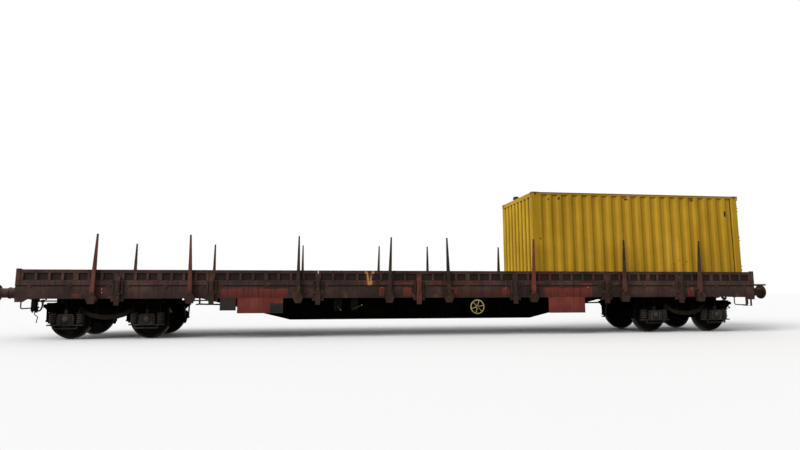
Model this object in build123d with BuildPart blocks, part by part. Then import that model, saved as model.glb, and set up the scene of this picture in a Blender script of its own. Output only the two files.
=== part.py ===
# Bogie flat wagon with drop sides, swing-down stanchions and a loaded twenty-foot container
# X runs along the wagon towards the container end, Y across it, Z up from the foot of the wheel flanges
import math
import os

from build123d import *

os.makedirs("parts", exist_ok=True)

# Wheels and their places
wheel_r = 460
flange_height = 28
rim_width = 135
back_to_back = 1360
axle_r = 80
journal_r = 65
journal_gap = 0.3
wheelbase = 1800
pivot_spacing = 14860
rail_z = flange_height
axle_z = flange_height + wheel_r

# Container
box_length = 6058
box_width = 2438
box_height = 2438
box_x = 6120
casting_length = 178
casting_width = 162
casting_height = 118
box_post = 140
sheet = 4
wave_depth = 36
wave_count = 20
wave_flat = 72
wave_slope = 68
bottom_rail = 150
top_rail = 60
rail_depth = 50
floor_thick = 28
door_thick = 50
door_gap = 8

# Wagon body
body_length = 18660
buffer_length = 620
buffer_height = 1060
buffer_spacing = 1750
solebar_height = 297
solebar_bottom = rail_z + 926
load_room = 93
side_depth = 60
side_step = 12
solebar_thick = 10
solebar_flange = 90
deck_thick = 65
deck_board = 240
deck_gap = 4
side_height = 375
side_y = box_width / 2 + load_room + side_depth
solebar_y = side_y - side_step
end_thick = 50
solebar_top = solebar_bottom + solebar_height
deck_z = solebar_top + deck_thick
side_top = solebar_top + side_height
body_end = body_length / 2
buffer_z = rail_z + buffer_height
pivot_x = pivot_spacing / 2

# Posts and stanchions along one side, mirrored to the other side
post_places = [-7122, -5010, -2509, 0, 2509, 5010, 7122]
post_width = 115
post_foot = rail_z + 770
post_head = rail_z + 1450
post_depth = 62
post_collar = 18
stanchion_width = 95
stanchion_depth = 84
stanchion_tip = 34
stanchion_top = rail_z + 2436
stanchion_pivot = rail_z + 1030
stanchion_foot = rail_z + 832
stanchion_pin_r = 20
pin_clearance = 1
running_gap = 6
pocket_plate = 12
# place along the wagon, side that its free end swings to (-1 left, 1 right), then the lean at rest in
# degrees, to the right where positive, of the near and of the far one
stanchion_table = [
    (-7657, -1, 1.2, 1.2),
    (-5495, -1, -1.8, 0.4),
    (-2985, -1, 0, 0),
    (-756, -1, 2.0, 1.2),
    (756, 1, -1.5, -0.5),
    (2985, 1, 1.8, 0),
    (5495, 1, 2.0, 0),
    (7657, 1, 3.0, 0),
]

# Centre girders
girder_y = 420
girder_web = 12
girder_flange_width = 200
girder_flange_thick = 22
girder_deep_z = rail_z + 370
girder_shallow_z = rail_z + 985
girder_flat_half = 3200
girder_slope_end = 5700

# Container edges
box_left = box_x - box_length / 2
box_right = box_x + box_length / 2
box_base = deck_z
box_top = box_base + box_height

sides = [-1, 1]
ends = [-1, 1]
joined_gap = 0.3


def save(built, node):
    built.label = node
    export_step(built, "parts/" + node + ".step")


# A closed block between two corners, in whatever order they come
def block(x0, x1, y0, y1, z0, z1, mode=Mode.ADD):
    with Locations(((x0 + x1) / 2, (y0 + y1) / 2, (z0 + z1) / 2)):
        Box(abs(x1 - x0), abs(y1 - y0), abs(z1 - z0), mode=mode)


# A rod along Y between two places
def cross_rod(x, z, radius, y0, y1, mode=Mode.ADD):
    with Locations((x, (y0 + y1) / 2, z)):
        Cylinder(radius, abs(y1 - y0), rotation=(90, 0, 0), mode=mode)


# A rod along X between two places
def long_rod(y, z, radius, x0, x1, mode=Mode.ADD):
    with Locations(((x0 + x1) / 2, y, z)):
        Cylinder(radius, abs(x1 - x0), rotation=(0, 90, 0), mode=mode)


# An upright rod between two heights
def upright_rod(x, y, radius, z0, z1, mode=Mode.ADD):
    with Locations((x, y, (z0 + z1) / 2)):
        Cylinder(radius, abs(z1 - z0), mode=mode)


# An upright plate cut from a side view outline, between two places across the wagon
def side_plate(points, y0, y1, mode=Mode.ADD):
    with BuildSketch(Plane.XZ.offset(-max(y0, y1))) as outline:
        with BuildLine():
            Polyline(points, close=True)
        make_face()
    extrude(outline.sketch, amount=abs(y1 - y0), mode=mode)


# An upright plate cut from an end view outline, between two places along the wagon
def end_plate(points, x0, x1, mode=Mode.ADD):
    with BuildSketch(Plane.YZ.offset(min(x0, x1))) as outline:
        with BuildLine():
            Polyline(points, close=True)
        make_face()
    extrude(outline.sketch, amount=abs(x1 - x0), mode=mode)


# A turned part about a line along X, from pairs of place and radius
def turned(profile, y, z, mode=Mode.ADD):
    with BuildSketch(Plane.XZ.offset(-y)) as outline:
        with BuildLine():
            Polyline([(x, z + radius) for x, radius in profile], close=True)
        make_face()
    revolve(outline.sketch, axis=Axis((0, y, z), (1, 0, 0)), mode=mode)


# A rod bent round corners of one radius
def bent_rod(points, corner, radius):
    with BuildPart() as made:
        with BuildLine() as route:
            FilletPolyline(*points, radius=corner)
        with BuildSketch(Plane(origin=route.line @ 0, z_dir=route.line % 0)):
            Circle(radius)
        sweep()
    return made.part


# Copies of one unit at places along the wagon
def along(unit, places):
    with Locations(*[(x, 0, 0) for x in places]):
        add(unit)


# Centre girders: deep belly between the bogies, shallow over them
girder_top = solebar_top
stiffener_count = 8
with BuildPart() as centre_girders:
    for side in sides:
        y = side * girder_y
        half = body_end - solebar_thick
        belly = [
            (-half, girder_shallow_z),
            (-girder_slope_end, girder_shallow_z),
            (-girder_flat_half, girder_deep_z),
            (girder_flat_half, girder_deep_z),
            (girder_slope_end, girder_shallow_z),
            (half, girder_shallow_z),
        ]
        web = belly + [(half, girder_top), (-half, girder_top)]
        side_plate(web, y - girder_web / 2, y + girder_web / 2)
        lower = belly + [(x, z + girder_flange_thick) for x, z in reversed(belly)]
        side_plate(lower, y - girder_flange_width / 2, y + girder_flange_width / 2)
        block(-half, half, y - girder_flange_width / 2, y + girder_flange_width / 2,
              girder_top - girder_flange_thick, girder_top)
        with Locations((0, side * (girder_y + girder_web / 4 + girder_flange_width / 4),
                        (girder_deep_z + girder_top) / 2)):
            with GridLocations(2 * girder_flat_half / (stiffener_count - 1), 0, stiffener_count, 1):
                Box(girder_web, (girder_flange_width - girder_web) / 2, girder_top - girder_deep_z)
save(centre_girders.part, "centre_girders")

# Solebars: channels with the web outwards
with BuildPart() as solebars:
    half = body_end - solebar_thick
    for side in sides:
        inner = side * (solebar_y - solebar_thick)
        block(-half, half, side * solebar_y, inner, solebar_bottom, solebar_top)
        for low in [solebar_bottom, solebar_top - solebar_thick]:
            block(-half, half, inner, side * (solebar_y - solebar_flange), low, low + solebar_thick)
save(solebars.part, "solebars")

# Headstocks: end beams that carry the buffers and draw hooks
headstock_bottom = buffer_z - 150
gusset_drop = 72
gusset_long = 170
gusset_slope = 110
with BuildPart() as headstocks:
    for end in ends:
        face = end * body_end
        inner = end * (body_end - solebar_thick)
        block(face, inner, -solebar_y, solebar_y, headstock_bottom, solebar_top)
        for low in [headstock_bottom, solebar_top - solebar_thick]:
            block(inner, end * (body_end - solebar_flange), -girder_y + girder_flange_width / 2,
                  girder_y - girder_flange_width / 2, low, low + solebar_thick)
        for side in sides:
            gusset = [
                (inner, solebar_bottom - gusset_drop),
                (inner - end * gusset_long, solebar_bottom - gusset_drop),
                (inner - end * (gusset_long + gusset_slope), solebar_bottom),
                (inner, solebar_bottom),
            ]
            side_plate(gusset, side * solebar_y, side * (solebar_y - solebar_thick))
save(headstocks.part, "headstocks")

# Cross bearers between girders and solebars, and between the girders
bearer_flange = 90
bearer_web = 10
girder_edge = girder_y + girder_flange_width / 2
girder_face = girder_y - girder_web / 2
solebar_inner = solebar_y - solebar_flange
bearer_end = body_end - 630
bearer_inner = [-7657, -5495, -5010, -2985, -2509, -756, 0, 756, 2509, 2985, 5010, 5495, 7657]
bearer_places = [-bearer_end] + bearer_inner + [bearer_end]
between_bottom = girder_shallow_z + girder_flange_thick
between_top = solebar_top - girder_flange_thick
with BuildPart() as bearer_unit:
    for side in sides:
        outline = [
            (side * girder_edge, between_bottom + 60),
            (side * solebar_inner, solebar_bottom + 60),
            (side * solebar_inner, solebar_top - solebar_thick),
            (side * girder_edge, solebar_top - solebar_thick),
        ]
        end_plate(outline, -bearer_web / 2, bearer_web / 2)
        block(-bearer_flange / 2, bearer_flange / 2, side * girder_edge, side * solebar_inner,
              solebar_top - solebar_thick, solebar_top)
    block(-bearer_web / 2, bearer_web / 2, -girder_face, girder_face, between_bottom, between_top)
with BuildPart() as cross_bearers:
    along(bearer_unit.part, bearer_places)
save(cross_bearers.part, "cross_bearers")

# Body bolsters over the bogies, with the upper centre bowl
bolster_length = 420
bowl_r = 170
bogie_top = rail_z + 925
with BuildPart() as bolster_unit:
    block(-bolster_length / 2, bolster_length / 2, -girder_face, girder_face, between_bottom, between_top)
    for side in sides:
        block(-bolster_length / 2, bolster_length / 2, side * girder_edge, side * solebar_inner,
              girder_shallow_z, solebar_top - solebar_thick)
    upright_rod(0, 0, bowl_r, bogie_top + joined_gap, between_bottom)
with BuildPart() as body_bolsters:
    along(bolster_unit.part, [-pivot_x, pivot_x])
save(body_bolsters.part, "body_bolsters")

# Deck boards laid across the frame
board_count = int((body_length - 2 * end_thick) // (deck_board + deck_gap))
board_pitch = (body_length - 2 * end_thick) / board_count
deck_half = 1300
with BuildPart() as deck_boards:
    with BuildSketch(Plane.XY.offset(solebar_top)):
        with GridLocations(board_pitch, 0, board_count, 1):
            Rectangle(board_pitch - deck_gap, 2 * deck_half)
    extrude(amount=deck_thick)
save(deck_boards.part, "deck_boards")

# Drop sides: ribbed panels that meet behind the posts
rail_height = 82
band_height = 125
recess_depth = 28
rib_proud = 4
rib_width = 60
rib_wide = 110
panel_gap = 10
corner_depth = 90
side_gap = 8
strap_width = 70
strap_reach = 45
strap_inset = 200
# place of the wide rib from the middle of its panel, pitch of the ribs
rib_table = {"end": (128, 284), "second": (-139, 272), "middle": (0, 299)}


def build_panel(x0, x1, wide_at, pitch):
    back = -(side_y - side_depth)
    recess = -(side_y - recess_depth)
    middle = (x0 + x1) / 2
    section = [
        (back, solebar_top + side_gap),
        (-side_y, solebar_top + side_gap),
        (-side_y, solebar_top + band_height),
        (recess, solebar_top + band_height + 12),
        (recess, side_top - rail_height),
        (-side_y, side_top - rail_height + 8),
        (-side_y, side_top),
        (back, side_top),
    ]
    rib_low = solebar_top + band_height
    rib_high = side_top - rail_height + 8
    rib_y = -(side_y - rib_proud / 2 - recess_depth / 2)
    wide = middle + wide_at
    left_count = int((wide - x0 - rib_width) // pitch)
    right_count = int((x1 - wide - rib_width) // pitch)
    ribs = [wide + i * pitch for i in range(-left_count, right_count + 1) if i != 0]
    ribs += [x0 + rib_width / 2, x1 - rib_width / 2]
    strap_low = solebar_top - strap_reach
    strap_high = solebar_top + side_gap
    with BuildPart() as made:
        end_plate(section, x0, x1)
        with Locations(*[(x, rib_y, (rib_low + rib_high) / 2) for x in ribs]):
            Box(rib_width, recess_depth - rib_proud, rib_high - rib_low)
        with Locations((wide, rib_y, (rib_low + rib_high) / 2)):
            Box(rib_wide, recess_depth - rib_proud, rib_high - rib_low)
        with Locations((middle, -(solebar_y + side_y) / 2, (strap_low + strap_high) / 2)):
            with GridLocations((x1 - x0) / 2 - strap_inset, 0, 3, 1):
                Box(strap_width, side_step, strap_high - strap_low)
    return made.part


# Panels of the left half, mirrored to the right half and then to the far side
panel_kinds = ["end", "second", "middle", "middle"]
stops = [-body_end + corner_depth + panel_gap / 2] + post_places[:4]
with BuildPart() as drop_sides:
    for kind, left, right in zip(panel_kinds, stops[:-1], stops[1:]):
        wide_at, pitch = rib_table[kind]
        add(build_panel(left + panel_gap / 2, right - panel_gap / 2, wide_at, pitch))
    mirror(about=Plane.YZ)
    mirror(about=Plane.XZ)
save(drop_sides.part, "drop_sides")

# Side posts: domed caps, collars, and a hanging latch with its lug on both sides
latch_at = 98
latch_width = 26
latch_thick = 18
latch_top = rail_z + 1325
latch_foot = rail_z + 1085
latch_boss = 27
latch_gap = 5
lug_width = 64
post_face_half = 32
post_front = solebar_y + post_depth
post_back = side_y + 3
collar_z = rail_z + 1020
with BuildPart() as post_unit:
    dome = post_width / 2
    block(-dome, dome, -post_back, -post_front, post_foot, post_head - dome)
    cross_rod(0, post_head - dome, dome, -post_back, -post_front)
    block(-dome, dome, -solebar_y, -post_front, post_foot + 60, solebar_top)
    block(-dome - post_collar, dome + post_collar, -solebar_y, -post_front - 10, collar_z, collar_z + 24)
    block(-post_face_half, post_face_half, -post_front, -post_front - 14, collar_z + 60, post_head - 2 * dome)
    for hand in sides:
        x = hand * latch_at
        face = -side_y - latch_gap
        lug_low = latch_foot - 45
        block(x - lug_width / 2, x + lug_width / 2, -solebar_y, face - latch_thick - 8, lug_low, latch_foot - 12)
        block(x - latch_width / 2, x + latch_width / 2, face, face - latch_thick, latch_foot - 12, latch_top)
        cross_rod(x, latch_top, latch_boss, face, face - latch_thick - 6)
        cross_rod(x, latch_foot + 10, latch_boss - 4, face, face - latch_thick - 10)
        cross_rod(x, latch_top, 11, face - latch_thick - 6, face - latch_thick - 34)
        block(hand * dome, x, -solebar_y, -side_y - 8, lug_low, latch_foot - 12)
        block(hand * (dome + 5), hand * (dome + 80), -solebar_y - 20, -solebar_y + 60, rail_z + 862, solebar_bottom)
        block(hand * dome, hand * (dome + 5), -solebar_y, -solebar_y - 20, rail_z + 862, solebar_bottom + 40)
with BuildPart() as side_posts:
    along(post_unit.part, post_places)
    mirror(about=Plane.XZ)
save(side_posts.part, "side_posts")

# Corner posts at the ends of the drop sides
with BuildPart() as corner_posts:
    block(body_end - corner_depth, body_end, side_y - side_depth, side_y, solebar_top, side_top + 20)
    mirror(about=Plane.XZ)
    mirror(about=Plane.YZ)
save(corner_posts.part, "corner_posts")

# Pockets: two plates, a pin between them, and the stops that hold the stanchion upright
pocket_back = solebar_y + pocket_plate
stanchion_back = pocket_back + running_gap
stanchion_front = stanchion_back + stanchion_depth
pocket_front = stanchion_front + running_gap
pocket_out = pocket_front + pocket_plate
pocket_foot = rail_z + 808
pocket_belly = rail_z + 940
pocket_head = rail_z + 1120
pocket_half_belly = 122
pocket_half_foot = 68
pocket_half_pin = 58
pocket_half_cap = 35
pin_cover = 45
pin_head = 8
stop_gap = 22
stop_width = 10
stop_height = 38


def build_pocket(swing):
    stop = stanchion_width / 2 + stop_gap
    outer_stop = stop + stop_width
    back_plate = [
        (-pocket_half_foot, pocket_foot),
        (pocket_half_foot, pocket_foot),
        (pocket_half_belly, pocket_belly),
        (pocket_half_belly, pocket_head),
        (-pocket_half_belly, pocket_head),
        (-pocket_half_belly, pocket_belly),
    ]
    front_plate = [
        (-pocket_half_foot, pocket_foot),
        (pocket_half_foot, pocket_foot),
        (pocket_half_belly, pocket_belly),
        (pocket_half_pin, stanchion_pivot + pin_cover / 2),
        (pocket_half_cap, stanchion_pivot + pin_cover),
        (-pocket_half_cap, stanchion_pivot + pin_cover),
        (-pocket_half_pin, stanchion_pivot + pin_cover / 2),
        (-pocket_half_belly, pocket_belly),
    ]
    with BuildPart() as made:
        side_plate(back_plate, -solebar_y, -pocket_back)
        side_plate(front_plate, -pocket_front, -pocket_out)
        cross_rod(0, stanchion_pivot, stanchion_pin_r, -solebar_y, -pocket_out - pin_head)
        block(-pocket_half_foot, pocket_half_foot, -solebar_y, -pocket_out, pocket_foot, pocket_foot + 8)
        block(swing * stop, swing * outer_stop, -solebar_y, -pocket_out, pocket_belly - stop_height, pocket_belly)
        block(-swing * stop, -swing * outer_stop, -solebar_y, -stanchion_front,
              stanchion_pivot + stop, stanchion_pivot + stop + stop_height)
    return made.part


with BuildPart() as stanchion_pockets:
    for hand in sides:
        along(build_pocket(hand), [row[0] for row in stanchion_table if row[1] == hand])
    mirror(about=Plane.XZ)
save(stanchion_pockets.part, "stanchion_pockets")


# One tapered stanchion with a shoulder, turned about its pin by its lean at rest
def build_stanchion(x, side, lean):
    near = side * stanchion_back
    centre = side * (stanchion_back + stanchion_depth / 2)
    shoulder = rail_z + 1180
    with BuildPart() as made:
        block(x - stanchion_width / 2, x + stanchion_width / 2, near, side * stanchion_front, stanchion_foot, shoulder)
        with BuildSketch(Plane.XY.offset(shoulder)):
            with Locations((x, centre)):
                Rectangle(stanchion_width, stanchion_depth)
        with BuildSketch(Plane.XY.offset(stanchion_top)):
            with Locations((x, near + side * stanchion_tip / 2)):
                Rectangle(stanchion_tip, stanchion_tip)
        loft()
        cross_rod(x, stanchion_pivot, stanchion_pin_r + pin_clearance, near - side * 5, side * (stanchion_front + 5),
                  mode=Mode.SUBTRACT)
    pin_axis = Axis((x, 0, stanchion_pivot), (0, 1, 0))
    return made.part.rotate(pin_axis, lean)


for number, (x, swing, near_lean, far_lean) in enumerate(stanchion_table, start=1):
    save(build_stanchion(x, -1, near_lean), "stanchion_near_" + str(number))
    save(build_stanchion(x, 1, far_lean), "stanchion_far_" + str(number))

# Buffers: fixed housings on the headstocks, plungers with round heads
housing_length = 350
housing_r = 125
housing_ring = 134
plunger_r = 112
head_r = 195
head_thick = 38
head_cone = 62
base_plate = 25
face_x = body_end + buffer_length
with BuildPart() as buffer_housings:
    for end in ends:
        for side in sides:
            y = side * buffer_spacing / 2
            block(end * body_end, end * (body_end + base_plate), y - 165, y + 165, headstock_bottom + 5,
                  buffer_z + 145)
            turned([
                (end * (body_end + base_plate), 0),
                (end * (body_end + base_plate), housing_r + 22),
                (end * (body_end + base_plate + 30), housing_r),
                (end * (body_end + housing_length - 30), housing_r),
                (end * (body_end + housing_length - 30), housing_ring),
                (end * (body_end + housing_length), housing_ring),
                (end * (body_end + housing_length), 0),
            ], y, buffer_z)
save(buffer_housings.part, "buffer_housings")
with BuildPart() as buffer_heads:
    for end in ends:
        for side in sides:
            turned([
                (end * (body_end + housing_length), 0),
                (end * (body_end + housing_length), plunger_r),
                (end * (face_x - head_cone), plunger_r),
                (end * (face_x - head_thick), head_r - 12),
                (end * (face_x - head_thick + 8), head_r),
                (end * (face_x - 8), head_r),
                (end * face_x, head_r - 8),
                (end * face_x, 0),
            ], side * buffer_spacing / 2, buffer_z)
save(buffer_heads.part, "buffer_heads")

# Draw hooks with screw couplings that hang from them
link_at = 125
link_long = 190
screw_long = 170
bow_long = 120
link_half = 68
with BuildPart() as draw_hooks:
    for end in ends:
        block(end * body_end, end * (body_end + 20), -160, 160, buffer_z - 110, buffer_z + 110)
        x0 = body_end + 20
        outline = [
            (end * x0, buffer_z - 45),
            (end * (x0 + 170), buffer_z - 60),
            (end * (x0 + 290), buffer_z - 20),
            (end * (x0 + 330), buffer_z + 110),
            (end * (x0 + 270), buffer_z + 120),
            (end * (x0 + 240), buffer_z + 30),
            (end * (x0 + 150), buffer_z + 20),
            (end * x0, buffer_z + 45),
        ]
        side_plate(outline, -30, 30)
        link_x = end * (x0 + link_at)
        screw_z = buffer_z - link_long
        bow_z = screw_z - screw_long
        cross_rod(link_x, buffer_z - 15, 20, -link_half - 10, link_half + 10)
        for side in sides:
            y = side * link_half
            block(link_x - 22, link_x + 22, y, y - side * 18, screw_z, buffer_z - 15)
        for z in [screw_z, bow_z]:
            cross_rod(link_x, z, 24, -link_half - 8, link_half + 8)
        upright_rod(link_x, 0, 19, bow_z - 30, screw_z)
        bow = [(link_x, y, z) for y, z in [(-48, bow_z), (-48, bow_z - bow_long), (48, bow_z - bow_long), (48, bow_z)]]
        add(bent_rod(bow, 46, 16))
save(draw_hooks.part, "draw_hooks")

# Fittings under the headstocks: brake pipe cocks, hose heads and rails, and steps at two corners
pipe_y = 300
pipe_z = rail_z + 860
hose_span = 400
hose_r = 20
hose_bend = 198
hose_x = body_end + 60
cock_r = 34
hose_top = pipe_z - cock_r - 2
hose_drop = rail_z + 612
grip_z = rail_z + 700
grip_r = 14
grip_x = body_end - 45
grip_inner = 640
grip_outer = 1140
step_z = rail_z + 690
step_x = body_end - 205
step_half = 95
step_depth = 120
with BuildPart() as fitting_unit:
    long_rod(pipe_y, pipe_z, 20, body_end - 160, hose_x + 30)
    block(body_end - 40, body_end - 15, pipe_y - 30, pipe_y + 30, pipe_z - 26, headstock_bottom)
    cross_rod(hose_x, pipe_z, cock_r, pipe_y - 38, pipe_y + 38)
    upright_rod(hose_x, pipe_y, 25, hose_top, pipe_z)
    block(hose_x - 9, hose_x + 9, pipe_y + 38, pipe_y + 48, pipe_z - 14, pipe_z + 96)
    holder_y = pipe_y - hose_span
    head_z = hose_top + 52
    block(hose_x - 30, hose_x + 34, holder_y - 32, holder_y + 32, hose_top, head_z)
    block(body_end - 20, hose_x + 22, holder_y - 26, holder_y + 26, head_z, head_z + 14)
    block(body_end - 20, body_end - 4, holder_y - 26, holder_y + 26, head_z, headstock_bottom)
    for side in sides:
        grip_route = [
            (grip_x, side * grip_inner, headstock_bottom),
            (grip_x, side * grip_inner, grip_z),
            (grip_x, side * grip_outer, grip_z),
            (grip_x, side * grip_outer, headstock_bottom),
        ]
        add(bent_rod(grip_route, 55, grip_r))
        for y in [side * grip_inner, side * grip_outer]:
            block(grip_x - 20, body_end, y - 25, y + 25, headstock_bottom - 8, headstock_bottom)
    step_face = -solebar_y - 10
    for x in [step_x - step_half + 25, step_x + step_half - 25]:
        block(x - 25, x + 25, -solebar_y, step_face, step_z, rail_z + 1020)
    block(step_x - step_half, step_x + step_half, step_face, step_face + step_depth, step_z - 8, step_z)
with BuildPart() as end_fittings:
    add(fitting_unit.part)
    add(fitting_unit.part.rotate(Axis.Z, 180))
save(end_fittings.part, "end_fittings")
hose_route = [
    (hose_x, pipe_y, hose_top),
    (hose_x, pipe_y, hose_drop),
    (hose_x, pipe_y - hose_span, hose_drop),
    (hose_x, pipe_y - hose_span, hose_top),
]
hose = bent_rod(hose_route, hose_bend, hose_r)
with BuildPart() as brake_hoses:
    add(hose)
    add(hose.rotate(Axis.Z, 180))
save(brake_hoses.part, "brake_hoses")

# Notice boards under the solebars, the same on both sides as seen from each side
board_plate = 4
board_rim = 16
board_rim_width = 20
# left edge, right edge, bottom
board_table = [
    (-4813, -4444, rail_z + 638),
    (-4411, -3339, rail_z + 570),
    (3406, 4394, rail_z + 530),
]
with BuildPart() as board_unit:
    board_head = solebar_bottom + 10
    for left, right, bottom in board_table:
        block(left, right, -solebar_y, -solebar_y - board_plate, bottom, board_head)
        for x in [left, right - board_rim_width, (left + right - board_rim_width) / 2]:
            block(x, x + board_rim_width, -solebar_y, -solebar_y + board_rim, bottom, solebar_bottom)
        block(left, right, -solebar_y, -solebar_y + board_rim, bottom, bottom + board_rim_width)
with BuildPart() as notice_boards:
    add(board_unit.part)
    add(board_unit.part.rotate(Axis.Z, 180))
save(notice_boards.part, "notice_boards")

# Handbrake wheels on shafts that run in to the girders
wheel_x = 1490
wheel_z = rail_z + 695
wheel_y = solebar_y + 45
wheel_ring_r = 168
wheel_wire = 13
wheel_hub = 34
spoke_r = 9
spoke_count = 6
shaft_r = 16
hanger_x = 45
with BuildPart() as handbrake_unit:
    with BuildSketch(Plane.XY.offset(wheel_z)):
        with Locations((wheel_x + wheel_ring_r, -wheel_y)):
            Circle(wheel_wire)
    revolve(axis=Axis((wheel_x, 0, wheel_z), (0, 1, 0)))
    cross_rod(wheel_x, wheel_z, wheel_hub, -wheel_y - 22, -wheel_y + 26)
    for i in range(spoke_count):
        with Locations(Plane(origin=(wheel_x, -wheel_y, wheel_z), x_dir=(0, 1, 0), z_dir=(
                math.cos(math.radians(360 / spoke_count * i + 15)), 0,
                math.sin(math.radians(360 / spoke_count * i + 15))))):
            Cylinder(spoke_r, wheel_ring_r, align=(Align.CENTER, Align.CENTER, Align.MIN))
    cross_rod(wheel_x, wheel_z, shaft_r, -wheel_y, -girder_y - girder_web / 2)
    block(wheel_x - hanger_x, wheel_x + hanger_x, -solebar_y + 40, -solebar_y + 50, wheel_z - 40, solebar_bottom)
with BuildPart() as handbrake_wheels:
    add(handbrake_unit.part)
    add(handbrake_unit.part.rotate(Axis.Z, 180))
save(handbrake_wheels.part, "handbrake_wheels")

# Air brake gear: reservoir and cylinder between the girders, lever plates and a relay box by the solebars
tank_r = 190
tank_z = rail_z + 700
tank_left = -2400
tank_right = -900
cylinder_r = 155
cylinder_left = 500
cylinder_right = 1050
rod_end = 2300
mount_thick = 14
# left edge, right edge, bottom of the plates that hang from the solebars
lever_table = [
    (-2116, -1917, rail_z + 610),
    (-1700, -1526, rail_z + 610),
]
relay_left = -8973
relay_right = -8872
relay_bottom = rail_z + 650
with BuildPart() as air_gear:
    turned([
        (tank_left, 0),
        (tank_left, tank_r - 70),
        (tank_left + 50, tank_r),
        (tank_right - 50, tank_r),
        (tank_right, tank_r - 70),
        (tank_right, 0),
    ], 0, tank_z)
    turned([
        (cylinder_left, 0),
        (cylinder_left, cylinder_r - 30),
        (cylinder_left + 40, cylinder_r),
        (cylinder_right, cylinder_r),
        (cylinder_right, 40),
        (rod_end, 40),
        (rod_end, 0),
    ], 0, tank_z)
    for x in [tank_left + 250, tank_right - 250, cylinder_left + 120, cylinder_right - 120]:
        block(x, x + mount_thick, -girder_face, girder_face, tank_z - 60, tank_z + 60)
    block(rod_end - 60, rod_end, -girder_face, girder_face, tank_z - 45, tank_z + 45)
    for left, right, bottom in lever_table:
        middle = (left + right) / 2
        block(left, right, -solebar_y + 30, -solebar_y + 42, bottom, solebar_bottom)
        cross_rod(middle, bottom + 110, 20, -solebar_y + 30, -solebar_y + 6)
        lever = [
            (middle - 10, bottom + 110),
            (middle + 60, bottom + 15),
            (middle + 78, bottom + 28),
            (middle + 10, bottom + 118),
        ]
        side_plate(lever, -solebar_y + 6, -solebar_y - 2)
    block(relay_left, relay_right, -solebar_y + 20, -solebar_y + 100, relay_bottom, solebar_bottom)
    tail_x = relay_right - 30
    tail = [
        (tail_x, -solebar_y + 60, relay_bottom + 12),
        (tail_x, -solebar_y + 60, relay_bottom - 75),
        (tail_x + 75, -solebar_y + 60, relay_bottom - 130),
        (tail_x + 50, -solebar_y + 60, relay_bottom - 270),
    ]
    add(bent_rod(tail, 40, 9))
save(air_gear.part, "air_gear")

# End boards, hinged at the headstocks: the left one stands up, the right one lies on the buffers
hinge_x = body_end + 18
hinge_z = solebar_top - 12
hinge_places = [-1130, -320, 320, 1130]
hinge_half = 30
hinge_r = 16
hinge_pin_r = 9
board_height = 385
board_thick = 42
board_rib = 8
end_half = side_y - side_depth - panel_gap
with BuildPart() as end_board_unit:
    inner = body_end - board_thick
    low = solebar_top + 4
    block(inner, body_end, -end_half, end_half, low, solebar_top + board_height)
    for y in hinge_places:
        block(inner, body_end + board_rib, y - hinge_half, y + hinge_half, low, solebar_top + board_height - 40)
        block(body_end - 4, hinge_x + hinge_r, y - hinge_half, y + hinge_half, hinge_z, solebar_top + 60)
        cross_rod(hinge_x, hinge_z, hinge_r, y - hinge_half, y + hinge_half)
        cross_rod(hinge_x, hinge_z, hinge_pin_r + pin_clearance, y - hinge_half, y + hinge_half, mode=Mode.SUBTRACT)
    block(0, body_end + 1, -end_half, end_half, hinge_z - hinge_r, low - 2, mode=Mode.SUBTRACT)
save(mirror(end_board_unit.part, about=Plane.YZ), "end_board_left")
save(end_board_unit.part.rotate(Axis((hinge_x, 0, hinge_z), (0, 1, 0)), 90), "end_board_right")
with BuildPart() as board_hinges:
    for y in hinge_places:
        for hand in sides:
            edge = y + hand * (hinge_half + 3)
            block(body_end, hinge_x + 12, edge, edge + hand * 14, hinge_z - 40, hinge_z + 10)
        cross_rod(hinge_x, hinge_z, hinge_pin_r, y - hinge_half - 17, y + hinge_half + 17)
    mirror(about=Plane.YZ)
save(board_hinges.part, "board_hinges")

# Bogie frame: two fishbelly side frames, a centre transom, end transoms, bearers and the lower bowl
frame_y = 1000
frame_web = 16
frame_flange = 150
frame_flange_thick = 16
frame_top = rail_z + 830
frame_end = 1400
belly_low = rail_z + 437
belly_face = 105
belly_face_thick = 14
belly_mid = (376, rail_z + 504)
belly_high = (590, rail_z + 640)
seat_z = rail_z + 585
seat_offset = 300
seat_half = 105
box_half = 185
arch_gap = 20
arch_z = rail_z + 690
transom_half = 200
side_bearer_y = 850
end_transom = 60
shoe_gap = 6
shoe_thick = 45
shoe_span = 20
shoe_y = 762
shoe_width = 80
hanger_top = rail_z + 715
beam_r = 28
beam_reach = wheel_r + flange_height + 45


# The lower edge of one half of a side frame, from the belly's end outwards
def frame_edge(lift):
    axle = wheelbase / 2
    return [
        (belly_high[0], belly_high[1] + lift),
        (axle - box_half - arch_gap, arch_z),
        (axle + box_half + arch_gap, arch_z),
        (axle + seat_offset + seat_half - 15, seat_z + frame_flange_thick / 2),
        (frame_end, seat_z + 130),
        (frame_end, frame_top - 60),
        (frame_end - 70, frame_top),
    ]


def mirrored(points):
    return [(-x, z) for x, z in reversed(points)]


def frame_half_outline():
    up = frame_flange_thick / 2
    right = frame_edge(up)
    left = mirrored(right)
    with BuildSketch(Plane.XZ.offset(frame_y - frame_web / 2)) as outline:
        with BuildLine():
            low = ThreePointArc((-belly_mid[0], belly_mid[1] + up), (0, belly_low + up),
                                (belly_mid[0], belly_mid[1] + up))
            Polyline([low @ 1] + right + left + [low @ 0])
        make_face()
    return outline.sketch


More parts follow.
